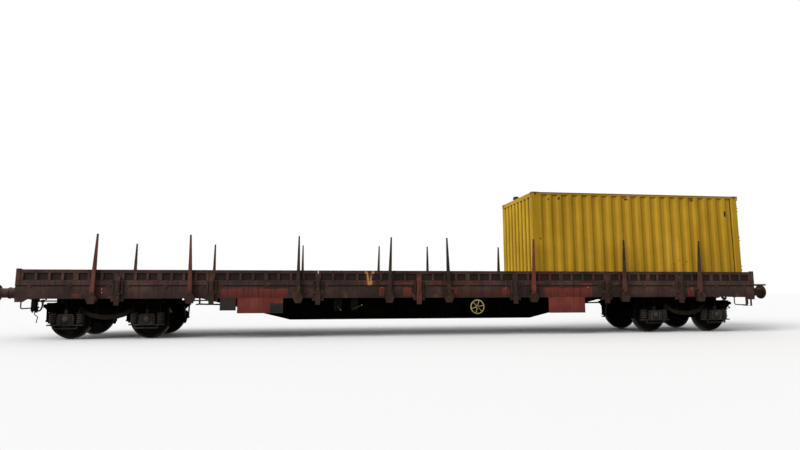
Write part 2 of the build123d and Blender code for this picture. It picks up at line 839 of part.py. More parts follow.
# A band of one depth along the belly's lower edge, drawn at a place across the bogie
def belly_band(up, y):
    with BuildSketch(Plane.XZ.offset(y)) as outline:
        with BuildLine():
            low = ThreePointArc((-belly_mid[0], belly_mid[1]), (0, belly_low), belly_mid)
            high = ThreePointArc((-belly_mid[0], belly_mid[1] + up), (0, belly_low + up),
                                 (belly_mid[0], belly_mid[1] + up))
            Polyline([low @ 1, belly_high, (belly_high[0], belly_high[1] + up), high @ 1])
            Polyline([high @ 0, (-belly_high[0], belly_high[1] + up), (-belly_high[0], belly_high[1]), low @ 0])
        make_face()
    return outline.sketch


with BuildPart() as bogie_frame:
    axle = wheelbase / 2
    extrude(frame_half_outline(), amount=frame_web)
    extrude(belly_band(frame_flange_thick, frame_y - frame_flange / 2), amount=frame_flange)
    extrude(belly_band(belly_face, frame_y + frame_flange / 2 - belly_face_thick), amount=belly_face_thick)
    y0 = -frame_y - frame_flange / 2
    y1 = -frame_y + frame_flange / 2
    block(-frame_end + 70, frame_end - 70, y0, y1, frame_top - frame_flange_thick, frame_top)
    for hand in sides:
        for offset in [-seat_offset, seat_offset]:
            x = hand * axle + offset
            block(x - seat_half, x + seat_half, y0, y1, seat_z, seat_z + frame_flange_thick)
            block(x - 8, x + 8, y0, y1, seat_z, frame_top)
        block(hand * axle - 20, hand * axle + 20, y0, -frame_y, arch_z, frame_top)
        block(hand * (frame_end - 16), hand * frame_end, y0, y1, seat_z + 130, frame_top - 60)
    block(-transom_half, transom_half, -frame_y, 0, belly_low + 170, frame_top)
    block(-110, 110, -side_bearer_y - 60, -side_bearer_y + 60, frame_top, girder_shallow_z - joined_gap)
    for hand in sides:
        block(hand * (frame_end - 25), hand * (frame_end + end_transom - 25), -frame_y, 0, hanger_top, rail_z + 795)
        block(hand * transom_half, hand * (axle - beam_reach + 20), -shoe_y - 30, -shoe_y + 30, hanger_top, hanger_top + 30)
    mirror(about=Plane.XZ)
    upright_rod(0, 0, bowl_r + 10, frame_top - 20, bogie_top)

# Axleboxes with their spring cradles and tie bars
cradle_z = rail_z + 298
cradle_thick = 27
cradle_half = 400
box_top_z = rail_z + 570
box_inner = 925
box_outer = 1092
box_shoulder = 42
stem_half = 26
stem_gap = 14
cover_r = 92
with BuildPart() as axlebox_unit:
    box_outline = [
        (-box_half, cradle_z),
        (-box_half, box_top_z - box_shoulder),
        (-box_half + box_shoulder, box_top_z),
        (box_half - box_shoulder, box_top_z),
        (box_half, box_top_z - box_shoulder),
        (box_half, cradle_z),
    ]
    side_plate(box_outline, -box_inner, -box_outer)
    block(-stem_half, stem_half, -frame_y, -frame_y - frame_flange / 2, box_top_z, arch_z - stem_gap)
    block(-cradle_half, cradle_half, -frame_y + 95, -frame_y - 95, cradle_z, cradle_z + cradle_thick)
    cross_rod(0, axle_z, cover_r, -box_outer, -box_outer - 26)
    for hand in sides:
        block(hand * 250, hand * 270, -box_outer + 32, -box_outer, rail_z + 225, cradle_z)
    block(-270, 270, -box_outer + 32, -box_outer, rail_z + 222, rail_z + 248)
    cross_rod(0, axle_z, journal_r + journal_gap, -box_inner, -box_outer + 20, mode=Mode.SUBTRACT)
with BuildPart() as axleboxes:
    along(axlebox_unit.part, [-axle, axle])
    mirror(about=Plane.XZ)

# Coil springs between cradles and seats
spring_r = 92
spring_wire = 15
spring_core = 58
spring_turns = 5
spring_low = cradle_z + cradle_thick
spring_high = seat_z
with BuildPart() as spring_unit:
    turn = (spring_high - spring_low) / spring_turns
    with BuildSketch(Plane.XZ.offset(frame_y)):
        with Locations(*[(spring_r - spring_wire, spring_low + (i + 0.5) * turn) for i in range(spring_turns)]):
            Circle(spring_wire)
        with Locations((spring_r - spring_wire * 2, (spring_low + spring_high) / 2)):
            Rectangle(spring_wire * 1.4, spring_high - spring_low)
    revolve(axis=Axis((0, -frame_y, 0), (0, 0, 1)))
    upright_rod(0, -frame_y, spring_core, spring_low, spring_high)
with BuildPart() as springs:
    along(spring_unit.part, [-axle - seat_offset, -axle + seat_offset, axle - seat_offset, axle + seat_offset])
    mirror(about=Plane.XZ)

# Brake shoes on both sides of each wheel, with hangers and beams
def build_shoe(hand):
    start = 180 - shoe_span - 6 if hand < 0 else -shoe_span - 6
    with BuildPart() as made:
        with BuildSketch(Plane.XZ.offset(shoe_y - shoe_width / 2)) as outline:
            with BuildLine():
                outer_r = wheel_r + shoe_gap + shoe_thick
                inner_r = wheel_r + shoe_gap
                outside = CenterArc((0, axle_z), outer_r, start, 2 * shoe_span)
                inside = CenterArc((0, axle_z), inner_r, start, 2 * shoe_span)
                Line(outside @ 0, inside @ 0)
                Line(outside @ 1, inside @ 1)
            make_face()
        extrude(outline.sketch, amount=shoe_width)
        low = axle_z - 60
        reach = hand * beam_reach
        cross_rod(reach, low, beam_r, -shoe_y - 30, 0)
        slant = [
            (reach - 16, low),
            (reach + 16, low),
            (reach + hand * 10 + 16, hanger_top),
            (reach + hand * 10 - 16, hanger_top),
        ]
        side_plate(slant, -shoe_y - 20, -shoe_y + 20)
    return made.part


with BuildPart() as brake_gear:
    for hand in sides:
        along(build_shoe(hand), [-axle, axle])
    mirror(about=Plane.XZ)

for end, end_name in zip(ends, ["left", "right"]):
    for made, made_name in [(bogie_frame, "frame"), (axleboxes, "axleboxes"), (springs, "springs"),
                            (brake_gear, "brakes")]:
        save(made.part.moved(Location((end * pivot_x, 0, 0))), "bogie_" + end_name + "_" + made_name)

# Wheelsets: two wheels pressed on one axle
journal_end = box_outer - 24
wheel_inner = back_to_back / 2
wheel_outer = wheel_inner + rim_width
rim_r = wheel_r - 62
hub_r = 130
with BuildPart() as wheelset_unit:
    with BuildSketch(Plane.YZ):
        with BuildLine():
            Polyline([
                (-journal_end, axle_z),
                (-journal_end, axle_z + journal_r),
                (-box_inner + 12, axle_z + journal_r),
                (-box_inner + 12, axle_z + axle_r + 10),
                (-wheel_outer - 15, axle_z + axle_r + 10),
                (-wheel_outer - 15, axle_z + hub_r),
                (-wheel_outer + 55, axle_z + hub_r),
                (-wheel_outer + 75, axle_z + rim_r),
                (-wheel_outer, axle_z + rim_r),
                (-wheel_outer, axle_z + wheel_r - 4),
                (-wheel_inner - 32, axle_z + wheel_r),
                (-wheel_inner - 24, axle_z + wheel_r + flange_height),
                (-wheel_inner - 8, axle_z + wheel_r + flange_height),
                (-wheel_inner, axle_z + wheel_r + flange_height - 12),
                (-wheel_inner, axle_z + rim_r),
                (-wheel_outer + 100, axle_z + rim_r),
                (-wheel_outer + 85, axle_z + hub_r),
                (-wheel_inner + 20, axle_z + hub_r),
                (-wheel_inner + 20, axle_z + axle_r),
                (0, axle_z + axle_r),
                (0, axle_z),
            ], close=True)
        make_face()
    revolve(axis=Axis((0, 0, axle_z), (0, 1, 0)))
    mirror(about=Plane.XZ)
number = 0
for end in ends:
    for hand in sides:
        number += 1
        place = Location((end * pivot_x + hand * axle, 0, 0))
        save(wheelset_unit.part.moved(place), "wheelset_" + str(number))

# Container frame: bottom rails, end sills and cross members
lift = 12
rail_z0 = box_base + lift
rail_z1 = rail_z0 + bottom_rail
half_width = box_width / 2
beam_inner = half_width - rail_depth
member_count = 13
member_width = 45
floor_z0 = rail_z1 - floor_thick
with BuildPart() as container_base:
    x0 = box_left + casting_length
    x1 = box_right - casting_length
    block(x0, x1, -half_width + 4, -beam_inner, rail_z0, rail_z1)
    block(x0, x1, beam_inner, half_width - 4, rail_z0, rail_z1)
    for end in ends:
        edge = box_x + end * box_length / 2
        block(edge - end * 4, edge - end * 120, -half_width + casting_width, half_width - casting_width,
              rail_z0, rail_z1)
    with Locations((box_x, 0, (rail_z0 + floor_z0) / 2)):
        with GridLocations((x1 - x0 - 100) / (member_count - 1), 0, member_count, 1):
            Box(member_width, 2 * beam_inner, floor_z0 - rail_z0)
save(container_base.part, "container_base")

# Corner posts with castings, whose holes take twist locks
lock_spacing_x = 5853
lock_spacing_y = 2259
slot_length = 124.5
slot_width = 63.5
side_slot_high = 79
side_slot_wide = 51
side_slot_z = 59
door_post = 50
door_inset = 30
hole_depth = 40
with BuildPart() as container_posts:
    for end in ends:
        edge = box_x + end * box_length / 2
        for side in sides:
            y = side * half_width
            for z0 in [box_base, box_top - casting_height]:
                block(edge, edge - end * casting_length, y, y - side * casting_width, z0, z0 + casting_height)
            post_y = door_post if end > 0 else box_post
            inset = door_inset if end > 0 else 6
            block(edge - end * inset, edge - end * casting_length, y - side * 4, y - side * post_y,
                  box_base + casting_height, box_top - casting_height)
    for plane in [Plane.XY.offset(box_top - hole_depth), Plane.XY.offset(box_base)]:
        with BuildSketch(plane) as slots:
            with Locations((box_x, 0)):
                with GridLocations(lock_spacing_x, lock_spacing_y, 2, 2):
                    SlotOverall(slot_length, slot_width)
        extrude(slots.sketch, amount=hole_depth, mode=Mode.SUBTRACT)
    slot_heights = [box_base + side_slot_z, box_top - side_slot_z]
    for plane in [Plane.XZ.offset(half_width - hole_depth), Plane.XZ.offset(-half_width)]:
        with BuildSketch(plane) as slots:
            with Locations(*[(box_x + end * lock_spacing_x / 2, z) for end in ends for z in slot_heights]):
                SlotOverall(side_slot_high, side_slot_wide)
        extrude(slots.sketch, amount=hole_depth, mode=Mode.SUBTRACT)
    for plane in [Plane.YZ.offset(box_right - hole_depth), Plane.YZ.offset(box_left)]:
        with BuildSketch(plane) as slots:
            with Locations(*[(side * lock_spacing_y / 2, z) for side in sides for z in slot_heights]):
                SlotOverall(side_slot_high, side_slot_wide)
        extrude(slots.sketch, amount=hole_depth, mode=Mode.SUBTRACT)
save(container_posts.part, "container_posts")

# Top rails and headers
with BuildPart() as container_rails:
    x0 = box_left + casting_length
    x1 = box_right - casting_length
    for side in sides:
        block(x0, x1, side * (half_width - 4), side * (half_width - top_rail), box_top - 6 - top_rail, box_top - 6)
    for end in ends:
        edge = box_x + end * box_length / 2
        block(edge - end * 4, edge - end * top_rail, -half_width + casting_width, half_width - casting_width,
              box_top - 6 - casting_height + 6, box_top - 6)
save(container_rails.part, "container_rails")


# A trapezoid wave from start to stop, as pairs of place and depth
def wave(start, stop, count, depth):
    pitch = (stop - start) / count
    flat = pitch * wave_flat / (2 * (wave_flat + wave_slope))
    slope = pitch / 2 - flat
    points = []
    for i in range(count):
        x = start + i * pitch
        points.append((x, 0))
        points.append((x + flat, 0))
        points.append((x + flat + slope, depth))
        points.append((x + 2 * flat + slope, depth))
    points.append((stop, 0))
    return points


# Corrugated side walls
wall_z0 = rail_z1
wall_z1 = box_top - 6 - top_rail
with BuildPart() as container_walls:
    line = wave(box_left + casting_length, box_right - casting_length, wave_count, wave_depth)
    outer = [(x, -half_width + 6 + depth) for x, depth in line]
    inner = [(x, y + sheet) for x, y in reversed(outer)]
    with BuildSketch(Plane.XY.offset(wall_z0)):
        with BuildLine():
            Polyline(outer + inner, close=True)
        make_face()
    extrude(amount=wall_z1 - wall_z0)
    mirror(about=Plane.XZ)
save(container_walls.part, "container_walls")

# Corrugated end wall at the left
end_waves = 8
with BuildPart() as container_end_wall:
    line = wave(-half_width + box_post, half_width - box_post, end_waves, wave_depth + 8)
    outer = [(box_left + 8 + depth, y) for y, depth in line]
    inner = [(x + sheet, y) for x, y in reversed(outer)]
    with BuildSketch(Plane.XY.offset(wall_z0)):
        with BuildLine():
            Polyline(outer + inner, close=True)
        make_face()
    extrude(amount=box_top - casting_height - wall_z0)
save(container_end_wall.part, "container_end_wall")

# Roof sheet with shallow waves across
roof_waves = 28
roof_depth = 18
with BuildPart() as container_roof:
    line = wave(box_left + casting_length + 40, box_right - casting_length - 40, roof_waves, -roof_depth)
    roof_z = box_top - 6 - sheet
    top = [(box_left + top_rail, roof_z)] + [(x, roof_z + depth) for x, depth in line] + [(box_right - top_rail, roof_z)]
    bottom = [(x, z - sheet) for x, z in reversed(top)]
    side_plate(top + bottom, -half_width + top_rail, half_width - top_rail)
    for end in ends:
        for side in sides:
            edge = box_x + end * box_length / 2
            block(edge, edge - end * casting_length, side * half_width, side * (half_width - casting_width),
                  roof_z - 10, box_top, mode=Mode.SUBTRACT)
save(container_roof.part, "container_roof")

# Plywood floor
with BuildPart() as container_floor:
    block(box_left + 120, box_right - 120, -beam_inner, beam_inner, floor_z0, rail_z1)
    for end in ends:
        for side in sides:
            edge = box_x + end * box_length / 2
            block(edge, edge - end * casting_length, side * half_width, side * (half_width - casting_width),
                  floor_z0 - 10, rail_z1 + 10, mode=Mode.SUBTRACT)
save(container_floor.part, "container_floor")

# Roof vent cowl by the left end
vent_x = box_left + 115
vent_y = 300
vent_r = 84
vent_stem = 48
vent_stem_high = 42
vent_high = 92
with BuildPart() as roof_vent:
    upright_rod(vent_x, vent_y, vent_stem, roof_z, roof_z + vent_stem_high)
    upright_rod(vent_x, vent_y, vent_r, roof_z + vent_stem_high, roof_z + vent_stem_high + vent_high)
save(roof_vent.part, "roof_vent")

# Container doors with lock rods, opening outwards on pins at the posts
door_face = box_right - 45
door_axis_x = box_right - 12
door_axis_y = half_width - 69
door_low = rail_z1 + door_gap
door_high = box_top - casting_height - door_gap
door_pin_r = 9
door_hinges = [0.12, 0.5, 0.88]
rod_places = [250, 900]
rod_r = 15
with BuildPart() as door_unit:
    y0 = -half_width + door_post + door_gap + 4
    y1 = -4
    block(door_face - door_thick, door_face, y0, y1, door_low, door_high)
    block(door_face - 30, door_face, y0 + 90, y1 - 90, door_low + 90, door_high - 90, mode=Mode.SUBTRACT)
    for share in door_hinges:
        z = door_low + share * (door_high - door_low)
        block(door_face - 8, door_axis_x, -door_axis_y - 14, -door_axis_y + 60, z - 30, z + 30)
        upright_rod(door_axis_x, -door_axis_y, 14, z - 30, z + 30)
        upright_rod(door_axis_x, -door_axis_y, door_pin_r + pin_clearance, z - 30, z + 30, mode=Mode.SUBTRACT)
    for place in rod_places:
        y = -half_width + place
        upright_rod(door_face + 20, y, rod_r, door_low + 20, door_high - 20)
        for share in [0.03, 0.35, 0.65, 0.97]:
            z = door_low + share * (door_high - door_low)
            block(door_face - 4, door_face + 38, y - 30, y + 30, z - 20, z + 20)
save(door_unit.part, "door_near")
save(mirror(door_unit.part, about=Plane.XZ), "door_far")
with BuildPart() as door_pins:
    for share in door_hinges:
        z = door_low + share * (door_high - door_low)
        upright_rod(door_axis_x, -door_axis_y, door_pin_r, z - 60, z + 60)
        for z0 in [z - 62, z + 34]:
            block(box_right - door_inset, box_right - 2, -half_width + 10, -door_axis_y + 12, z0, z0 + 28)
    mirror(about=Plane.XZ)
save(door_pins.part, "door_hinges")
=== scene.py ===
import math
import random

import bmesh
import bpy
from mathutils import Euler, Matrix, Vector


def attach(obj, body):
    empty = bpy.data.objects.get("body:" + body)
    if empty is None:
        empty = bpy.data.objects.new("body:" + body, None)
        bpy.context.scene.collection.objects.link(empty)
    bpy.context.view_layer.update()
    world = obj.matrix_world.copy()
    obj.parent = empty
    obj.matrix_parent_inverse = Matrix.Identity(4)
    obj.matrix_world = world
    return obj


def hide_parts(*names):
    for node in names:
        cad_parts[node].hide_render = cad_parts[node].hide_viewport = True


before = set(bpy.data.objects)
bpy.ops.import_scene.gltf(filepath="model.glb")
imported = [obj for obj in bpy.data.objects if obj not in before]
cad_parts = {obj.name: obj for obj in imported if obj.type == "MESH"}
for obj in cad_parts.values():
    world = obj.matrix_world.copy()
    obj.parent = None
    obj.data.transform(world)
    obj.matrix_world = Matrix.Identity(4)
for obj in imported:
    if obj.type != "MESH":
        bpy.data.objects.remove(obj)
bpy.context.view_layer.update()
random.seed(7)

# The camera stands low beside the wagon, a little left of its middle, with a short lens
cameraSet = {
    "place": (-2.405, -15.057, 1.119),
    "yaw": 8.0,
    "pitch": 7.44,
    "roll": -0.08,
    "focalPixels": 549.6,
    "width": 800,
    "height": 450,
    "middleRow": 219.35,
}


def makeCamera():
    lens = bpy.data.cameras.new("camera")
    lens.sensor_width = 36.0
    lens.lens = 36.0 * cameraSet["focalPixels"] / cameraSet["width"]
    lens.shift_y = (cameraSet["middleRow"] - cameraSet["height"] / 2) / cameraSet["width"]
    lens.clip_end = 200.0
    view = bpy.data.objects.new("camera", lens)
    turn = Euler((math.radians(90 + cameraSet["pitch"]), 0.0, math.radians(-cameraSet["yaw"])), "XYZ")
    roll = Matrix.Rotation(math.radians(cameraSet["roll"]), 4, "Z")
    view.matrix_world = Matrix.Translation(cameraSet["place"]) @ turn.to_matrix().to_4x4() @ roll
    bpy.context.scene.collection.objects.link(view)
    bpy.context.scene.camera = view


makeCamera()
bpy.context.scene.view_settings.view_transform = "Standard"

# Main places of the wagon, in metres
wagon = {"axleZ": 0.488, "wheelRadius": 0.46, "pivotX": 7.43, "halfBase": 0.9, "solebarY": 1.36,
    "sideY": 1.372, "deckZ": 1.316, "plankPitch": 0.24447, "bufferZ": 1.088, "bufferY": 0.875,
    "bufferFace": 9.947, "boxLeft": 3.091, "posts": (-7.122, -5.01, -2.509, 0.0, 2.509, 5.01, 7.122), }
hands = (-1, 1)
pairs = ((-1, -1), (-1, 1), (1, -1), (1, 1))


def hexColour(text):
    parts = [int(text[i:i + 2], 16) / 255 for i in (1, 3, 5)]
    return (*[c / 12.92 if c <= 0.04045 else ((c + 0.055) / 1.055) ** 2.4 for c in parts], 1.0)


blend = {"data_type": "RGBA"}
multiply = {"data_type": "RGBA", "blend_type": "MULTIPLY"}


# Inputs have names or stand in the node's own order, which for a MapRange is the value, from low and high
# and to low and high. Each one is a value, a hex colour, a socket, or a node whose first output is read.
def setInputs(tree, node, inputs):
    for key, value in inputs.items() if isinstance(inputs, dict) else enumerate(inputs):
        if isinstance(value, bpy.types.Node):
            value = value.outputs[0]
        if isinstance(value, bpy.types.NodeSocket):
            tree.links.new(value, node.inputs[key])
        else:
            node.inputs[key].default_value = hexColour(value) if isinstance(value, str) else value


# Settings given as plain text are the operation, and each stop is a place with a hex colour or a grey
def addNode(tree, kind, inputs=(), settings={}, stops=()):
    node = tree.nodes.new("ShaderNode" + kind)
    if isinstance(settings, str):
        settings = {"operation": settings}
    for key, value in settings.items():
        setattr(node, key, value)
    setInputs(tree, node, inputs)
    for i, (at, tone) in enumerate(stops):
        marks = node.color_ramp.elements
        mark = marks[i] if i < len(marks) else marks.new(at)
        mark.position = at
        mark.color = hexColour(tone) if isinstance(tone, str) else (tone, tone, tone, 1.0)
    return node


def startMaterial(name):
    material = bpy.data.materials.new(name)
    material.use_nodes = True
    tree = material.node_tree
    return material, tree, tree.nodes["Principled BSDF"], addNode(tree, "TexCoord").outputs["Object"]


# One side seen from outside looks the same as the other, so far patches are turned half round
def turnedPlace(tree, place):
    split = addNode(tree, "SeparateXYZ", [place])
    hand = addNode(tree, "Math", [split.outputs["Y"]], "SIGN")
    across = addNode(tree, "Math", [split, hand], "MULTIPLY")
    along = addNode(tree, "Math", [across, -1.0], "MULTIPLY")
    return addNode(tree, "CombineXYZ", {"X": along, "Z": split.outputs["Z"]}).outputs[0]


# How far a place is past a box, by the greater of two axes
def pastBox(tree, place, middle, half, first, second):
    offset = addNode(tree, "VectorMath", [place, middle], "SUBTRACT")
    away = addNode(tree, "VectorMath", [offset], "ABSOLUTE")
    past = addNode(tree, "VectorMath", [away, half], "SUBTRACT")
    split = addNode(tree, "SeparateXYZ", [past])
    return addNode(tree, "Math", [split.outputs[first], split.outputs[second]], "MAXIMUM")


# Patches with worn edges, of paint and of painted shadow: left, right, bottom, top and colour
def paintPatches(tree, place, colour, patches, wear):
    flat = turnedPlace(tree, place)
    rough = addNode(tree, "TexNoise", {"Vector": place, "Scale": 14.0, "Detail": 4.0})
    worn = addNode(tree, "MapRange", {"Value": rough, "To Min": -wear, "To Max": wear})
    for left, right, low, high, tone in patches:
        middle = ((left + right) / 2, 0.0, (low + high) / 2)
        half = ((right - left) / 2, 0.0, (high - low) / 2)
        most = pastBox(tree, flat, middle, half, "X", "Z")
        edge = addNode(tree, "Math", [most, worn], "ADD")
        cover = addNode(tree, "MapRange", [edge, -0.004, 0.008, 1.0, 0.0])
        colour = addNode(tree, "Mix", {0: cover, 6: colour, 7: tone}, blend).outputs[2]
    return colour


# Darkening painted into sunk places and gaps as shade where little light reaches: lowest and highest
# distance from the middle, bottom, top and depth
def paintHollowShade(tree, place, colour, hollows, tone):
    split = addNode(tree, "SeparateXYZ", [place])
    across = addNode(tree, "Math", [split.outputs["Y"]], "ABSOLUTE")
    spot = addNode(tree, "CombineXYZ", {"Y": across, "Z": split.outputs["Z"]})
    for near, far, low, high, depth in hollows:
        middle = (0.0, (near + far) / 2, (low + high) / 2)
        half = (0.0, (far - near) / 2, (high - low) / 2)
        most = pastBox(tree, spot, middle, half, "Y", "Z")
        cover = addNode(tree, "MapRange", [most, -0.002, 0.002, depth, 0.0])
        colour = addNode(tree, "Mix", {0: cover, 6: colour, 7: tone}, blend).outputs[2]
    return colour


# A painted arrowhead that points down: middle, bottom, top, half width at the top and half stroke
def paintArrow(tree, place, colour, arrow, tone):
    middle, low, high, spread, stroke = arrow
    flat = turnedPlace(tree, place)
    split = addNode(tree, "SeparateXYZ", [flat])
    offset = addNode(tree, "Math", [split, middle], "SUBTRACT")
    aside = addNode(tree, "Math", [offset], "ABSOLUTE")
    line = addNode(tree, "MapRange", [split.outputs["Z"], low, high, 0.4 * stroke, spread])
    gap = addNode(tree, "Math", [aside, line], "SUBTRACT")
    off = addNode(tree, "Math", [gap], "ABSOLUTE")
    rough = addNode(tree, "TexNoise", {"Vector": place, "Scale": 40.0, "Detail": 3.0})
    worn = addNode(tree, "MapRange", {"Value": rough, "To Min": -0.016, "To Max": 0.016})
    edge = addNode(tree, "Math", [off, worn], "ADD")
    inside = addNode(tree, "MapRange", [edge, stroke - 0.004, stroke + 0.004, 1.0, 0.0])
    above = addNode(tree, "Math", [split.outputs["Z"], low], "GREATER_THAN")
    below = addNode(tree, "Math", [split.outputs["Z"], high], "LESS_THAN")
    band = addNode(tree, "Math", [above, below], "MULTIPLY")
    cover = addNode(tree, "Math", [inside, band], "MULTIPLY")
    return addNode(tree, "Mix", {0: cover, 6: colour, 7: tone}, blend).outputs[2]


# Round marks where the paint is knocked through: place and radius
def rustMarks(tree, place, colour, marks, tone):
    rough = addNode(tree, "TexNoise", {"Vector": place, "Scale": 22.0, "Detail": 5.0})
    worn = addNode(tree, "MapRange", {"Value": rough, "To Min": -0.035, "To Max": 0.035})
    for spot, radius in marks:
        far = addNode(tree, "VectorMath", [place, spot], "DISTANCE")
        edge = addNode(tree, "Math", [far.outputs["Value"], worn], "ADD")
        cover = addNode(tree, "MapRange", [edge, radius * 0.6, radius * 1.2, 0.9, 0.0])
        colour = addNode(tree, "Mix", {0: cover, 6: colour, 7: tone}, blend).outputs[2]
    return colour


# What every paint starts from: sizes in millimetres, colours and depths of wear
oxideLook = {"tones": ("#2c201b", "#3f2c26", "#523a31"), "dirt": "#1d1613", "rust": "#5c3a2a",
    "dust": "#6a5448", "driftSize": 520, "streakSize": 55, "streakTall": 0.07, "streakDepth": 0.75,
    "rustSize": 210, "rustFrom": 0.58, "grainSize": 9, "grainDepth": 1.2, "dustDepth": 0.6,
    "roughness": 0.66, "metallic": 0.0, "shine": 0.12, "wear": 0.03}


# Paint on steel: tone that drifts, rain streaks of dirt, rust that breaks through and dust on ledges.
# Sizes are in millimetres, and finer grain than shows here is drawn as coarse as it needs to be seen.
def weatheredPaint(name, base=oxideLook, **own):
    look = dict(base, **own)
    material, tree, shader, place = startMaterial(name)
    drift = addNode(tree, "TexNoise", {"Vector": place, "Scale": 1000 / look["driftSize"], "Detail": 5.0,
        "Roughness": 0.6})
    tone = addNode(tree, "ValToRGB", {"Fac": drift}, stops=list(zip((0.34, 0.5, 0.66), look["tones"])))
    colour = tone.outputs["Color"]
    if look.get("patches"):
        colour = paintPatches(tree, place, colour, look["patches"], look["wear"])
    if look.get("sunk"):
        # Painted shade: the colour darkens toward the inner faces of the corrugation, where less light
        # reaches
        axis, outer, inner, depth = look["sunk"]
        split = addNode(tree, "SeparateXYZ", [place])
        away = addNode(tree, "Math", [split.outputs[axis]], "ABSOLUTE")
        shade = addNode(tree, "MapRange", [away, outer, inner, 0.0, depth])
        colour = addNode(tree, "Mix", {0: shade, 6: colour, 7: look["sunkTone"]}, blend).outputs[2]
    if look.get("arrow"):
        colour = paintArrow(tree, place, colour, look["arrow"], look["arrowTone"])
    if look.get("fade"):
        top, bottom, depth, fadeTone = look["fade"]
        tall = addNode(tree, "SeparateXYZ", [place])
        lower = addNode(tree, "MapRange", [tall.outputs["Z"], bottom, top, depth, 0.0])
        colour = addNode(tree, "Mix", {0: lower, 6: colour, 7: fadeTone}, blend).outputs[2]
    tall = addNode(tree, "Mapping", {"Vector": place, "Scale": (1.0, 1.0, look["streakTall"])})
    rain = addNode(tree, "TexNoise", {"Vector": tall, "Scale": 1000 / look["streakSize"], "Detail": 4.0,
        "Roughness": 0.6})
    streak = addNode(tree, "ValToRGB", {"Fac": rain}, stops=[(0.48, 0.0), (0.72, look["streakDepth"])])
    colour = addNode(tree, "Mix", {0: streak, 6: colour, 7: look["dirt"]}, blend).outputs[2]
    bloom = addNode(tree, "TexNoise", {"Vector": place, "Scale": 1000 / look["rustSize"], "Detail": 8.0,
        "Roughness": 0.68})
    rust = addNode(tree, "ValToRGB", {"Fac": bloom},
        stops=[(look["rustFrom"], 0.0), (look["rustFrom"] + 0.09, 0.85)])
    colour = addNode(tree, "Mix", {0: rust, 6: colour, 7: look["rust"]}, blend).outputs[2]
    if look.get("marks"):
        colour = rustMarks(tree, place, colour, look["marks"], look["markTone"])
    if look.get("hollows"):
        colour = paintHollowShade(tree, place, colour, look["hollows"], look.get("hollowTone", look["dirt"]))
    # Dust lies on faces that look up
    facing = addNode(tree, "NewGeometry")
    up = addNode(tree, "SeparateXYZ", [facing.outputs["Normal"]])
    ledge = addNode(tree, "MapRange", [up.outputs["Z"], 0.5, 0.95, 0.0, look["dustDepth"]])
    colour = addNode(tree, "Mix", {0: ledge, 6: colour, 7: look["dust"]}, blend).outputs[2]
    gloss = addNode(tree, "MapRange", {"Value": rust, "To Min": look["roughness"], "To Max": 0.92})
    grain = addNode(tree, "TexNoise", {"Vector": place, "Scale": 1000 / look["grainSize"], "Detail": 6.0,
        "Roughness": 0.7})
    pitted = addNode(tree, "Math", [grain, rust], "ADD")
    bump = addNode(tree, "Bump", {"Height": pitted, "Strength": 0.5, "Distance": look["grainDepth"] / 1000})
    # Dust takes the gloss off, so little of it shines
    setInputs(tree, shader, {"Base Color": colour, "Roughness": gloss, "Normal": bump,
        "Metallic": look["metallic"], "Specular IOR Level": look["shine"]})
    return material


# Repainted fields and spots, brighter than the oxide round them
redPaint = "#6c2e28"
redSpot = "#672e28"
# Oxide primer, brushed on pressed steel and browned by brake dust: dull, with near-black painted shade in
# the pressed recesses and the gap over the solebar, and the lip and top rail painted darker
sidePaint = weatheredPaint("oxide_paint_on_pressed_steel", arrow=(-1.245, 1.27, 1.612, 0.092, 0.034),
    arrowTone="#bf9155", dustDepth=0.4, dust="#483930", hollows=[(1.33, 1.36, 1.38, 1.56, 0.82),
    (1.3, 1.38, 1.25, 1.268, 0.9), (1.36, 1.38, 1.37, 1.392, 0.35), (1.3, 1.4, 1.565, 1.64, 0.28)],
    hollowTone="#120e0b", patches=[(-1.373, -1.11, 1.262, 1.64, "#5c3026"),
    (-0.985, -0.102, 1.285, 1.35, "#54302a"), (4.279, 4.61, 1.262, 1.325, "#6b2b26"),
    (3.2, 3.62, 1.38, 1.62, "#4a2721"), (0.3, 1.9, 1.285, 1.35, "#4c2c25")])
# The same primer on the rolled channel, with repainted red fields behind the boards and at the tie places,
# and a strip of painted shadow along its top under the drop side
solebarPaint = weatheredPaint("oxide_paint_on_rolled_channel", tones=("#2a1f1b", "#3c2b26", "#4e3932"),
    fade=(1.16, 0.965, 0.5, "#1d1613"), hollows=[(1.3, 1.4, 1.236, 1.26, 0.9)], hollowTone="#14100d",
    patches=[(-4.82, -3.232, 0.947, 1.179, redPaint), (3.309, 4.59, 0.947, 1.195, redPaint),
    (0.846, 2.232, 0.95, 1.12, "#4c281f"), (-1.01, -0.86, 1.0, 1.21, redSpot),
    (-0.407, -0.18, 1.0, 1.22, redSpot), (0.767, 0.974, 1.045, 1.2, redSpot),
    (2.153, 2.339, 1.02, 1.2, redSpot), (4.405, 4.599, 1.04, 1.22, "#6c2f28"),
    (7.334, 7.539, 0.955, 1.195, redSpot), (-8.122, -7.923, 0.985, 1.07, "#6b3029"),
    (-7.53, -7.4, 1.03, 1.2, "#55302a")])
# Thick oxide coats on the flame-cut posts, redder where a later coat still holds
postPaint = weatheredPaint("oxide_paint_on_cut_plate", tones=("#231914", "#33241d", "#48322a"),
    rustSize=110, rustFrom=0.56, patches=[(-0.06, 0.06, 0.8, 1.49, "#6b372a"),
    (-5.07, -4.95, 1.36, 1.49, "#553125"), (-7.18, -7.06, 1.38, 1.49, "#4a2f27"),
    (4.95, 5.07, 1.38, 1.49, "#452b23")])
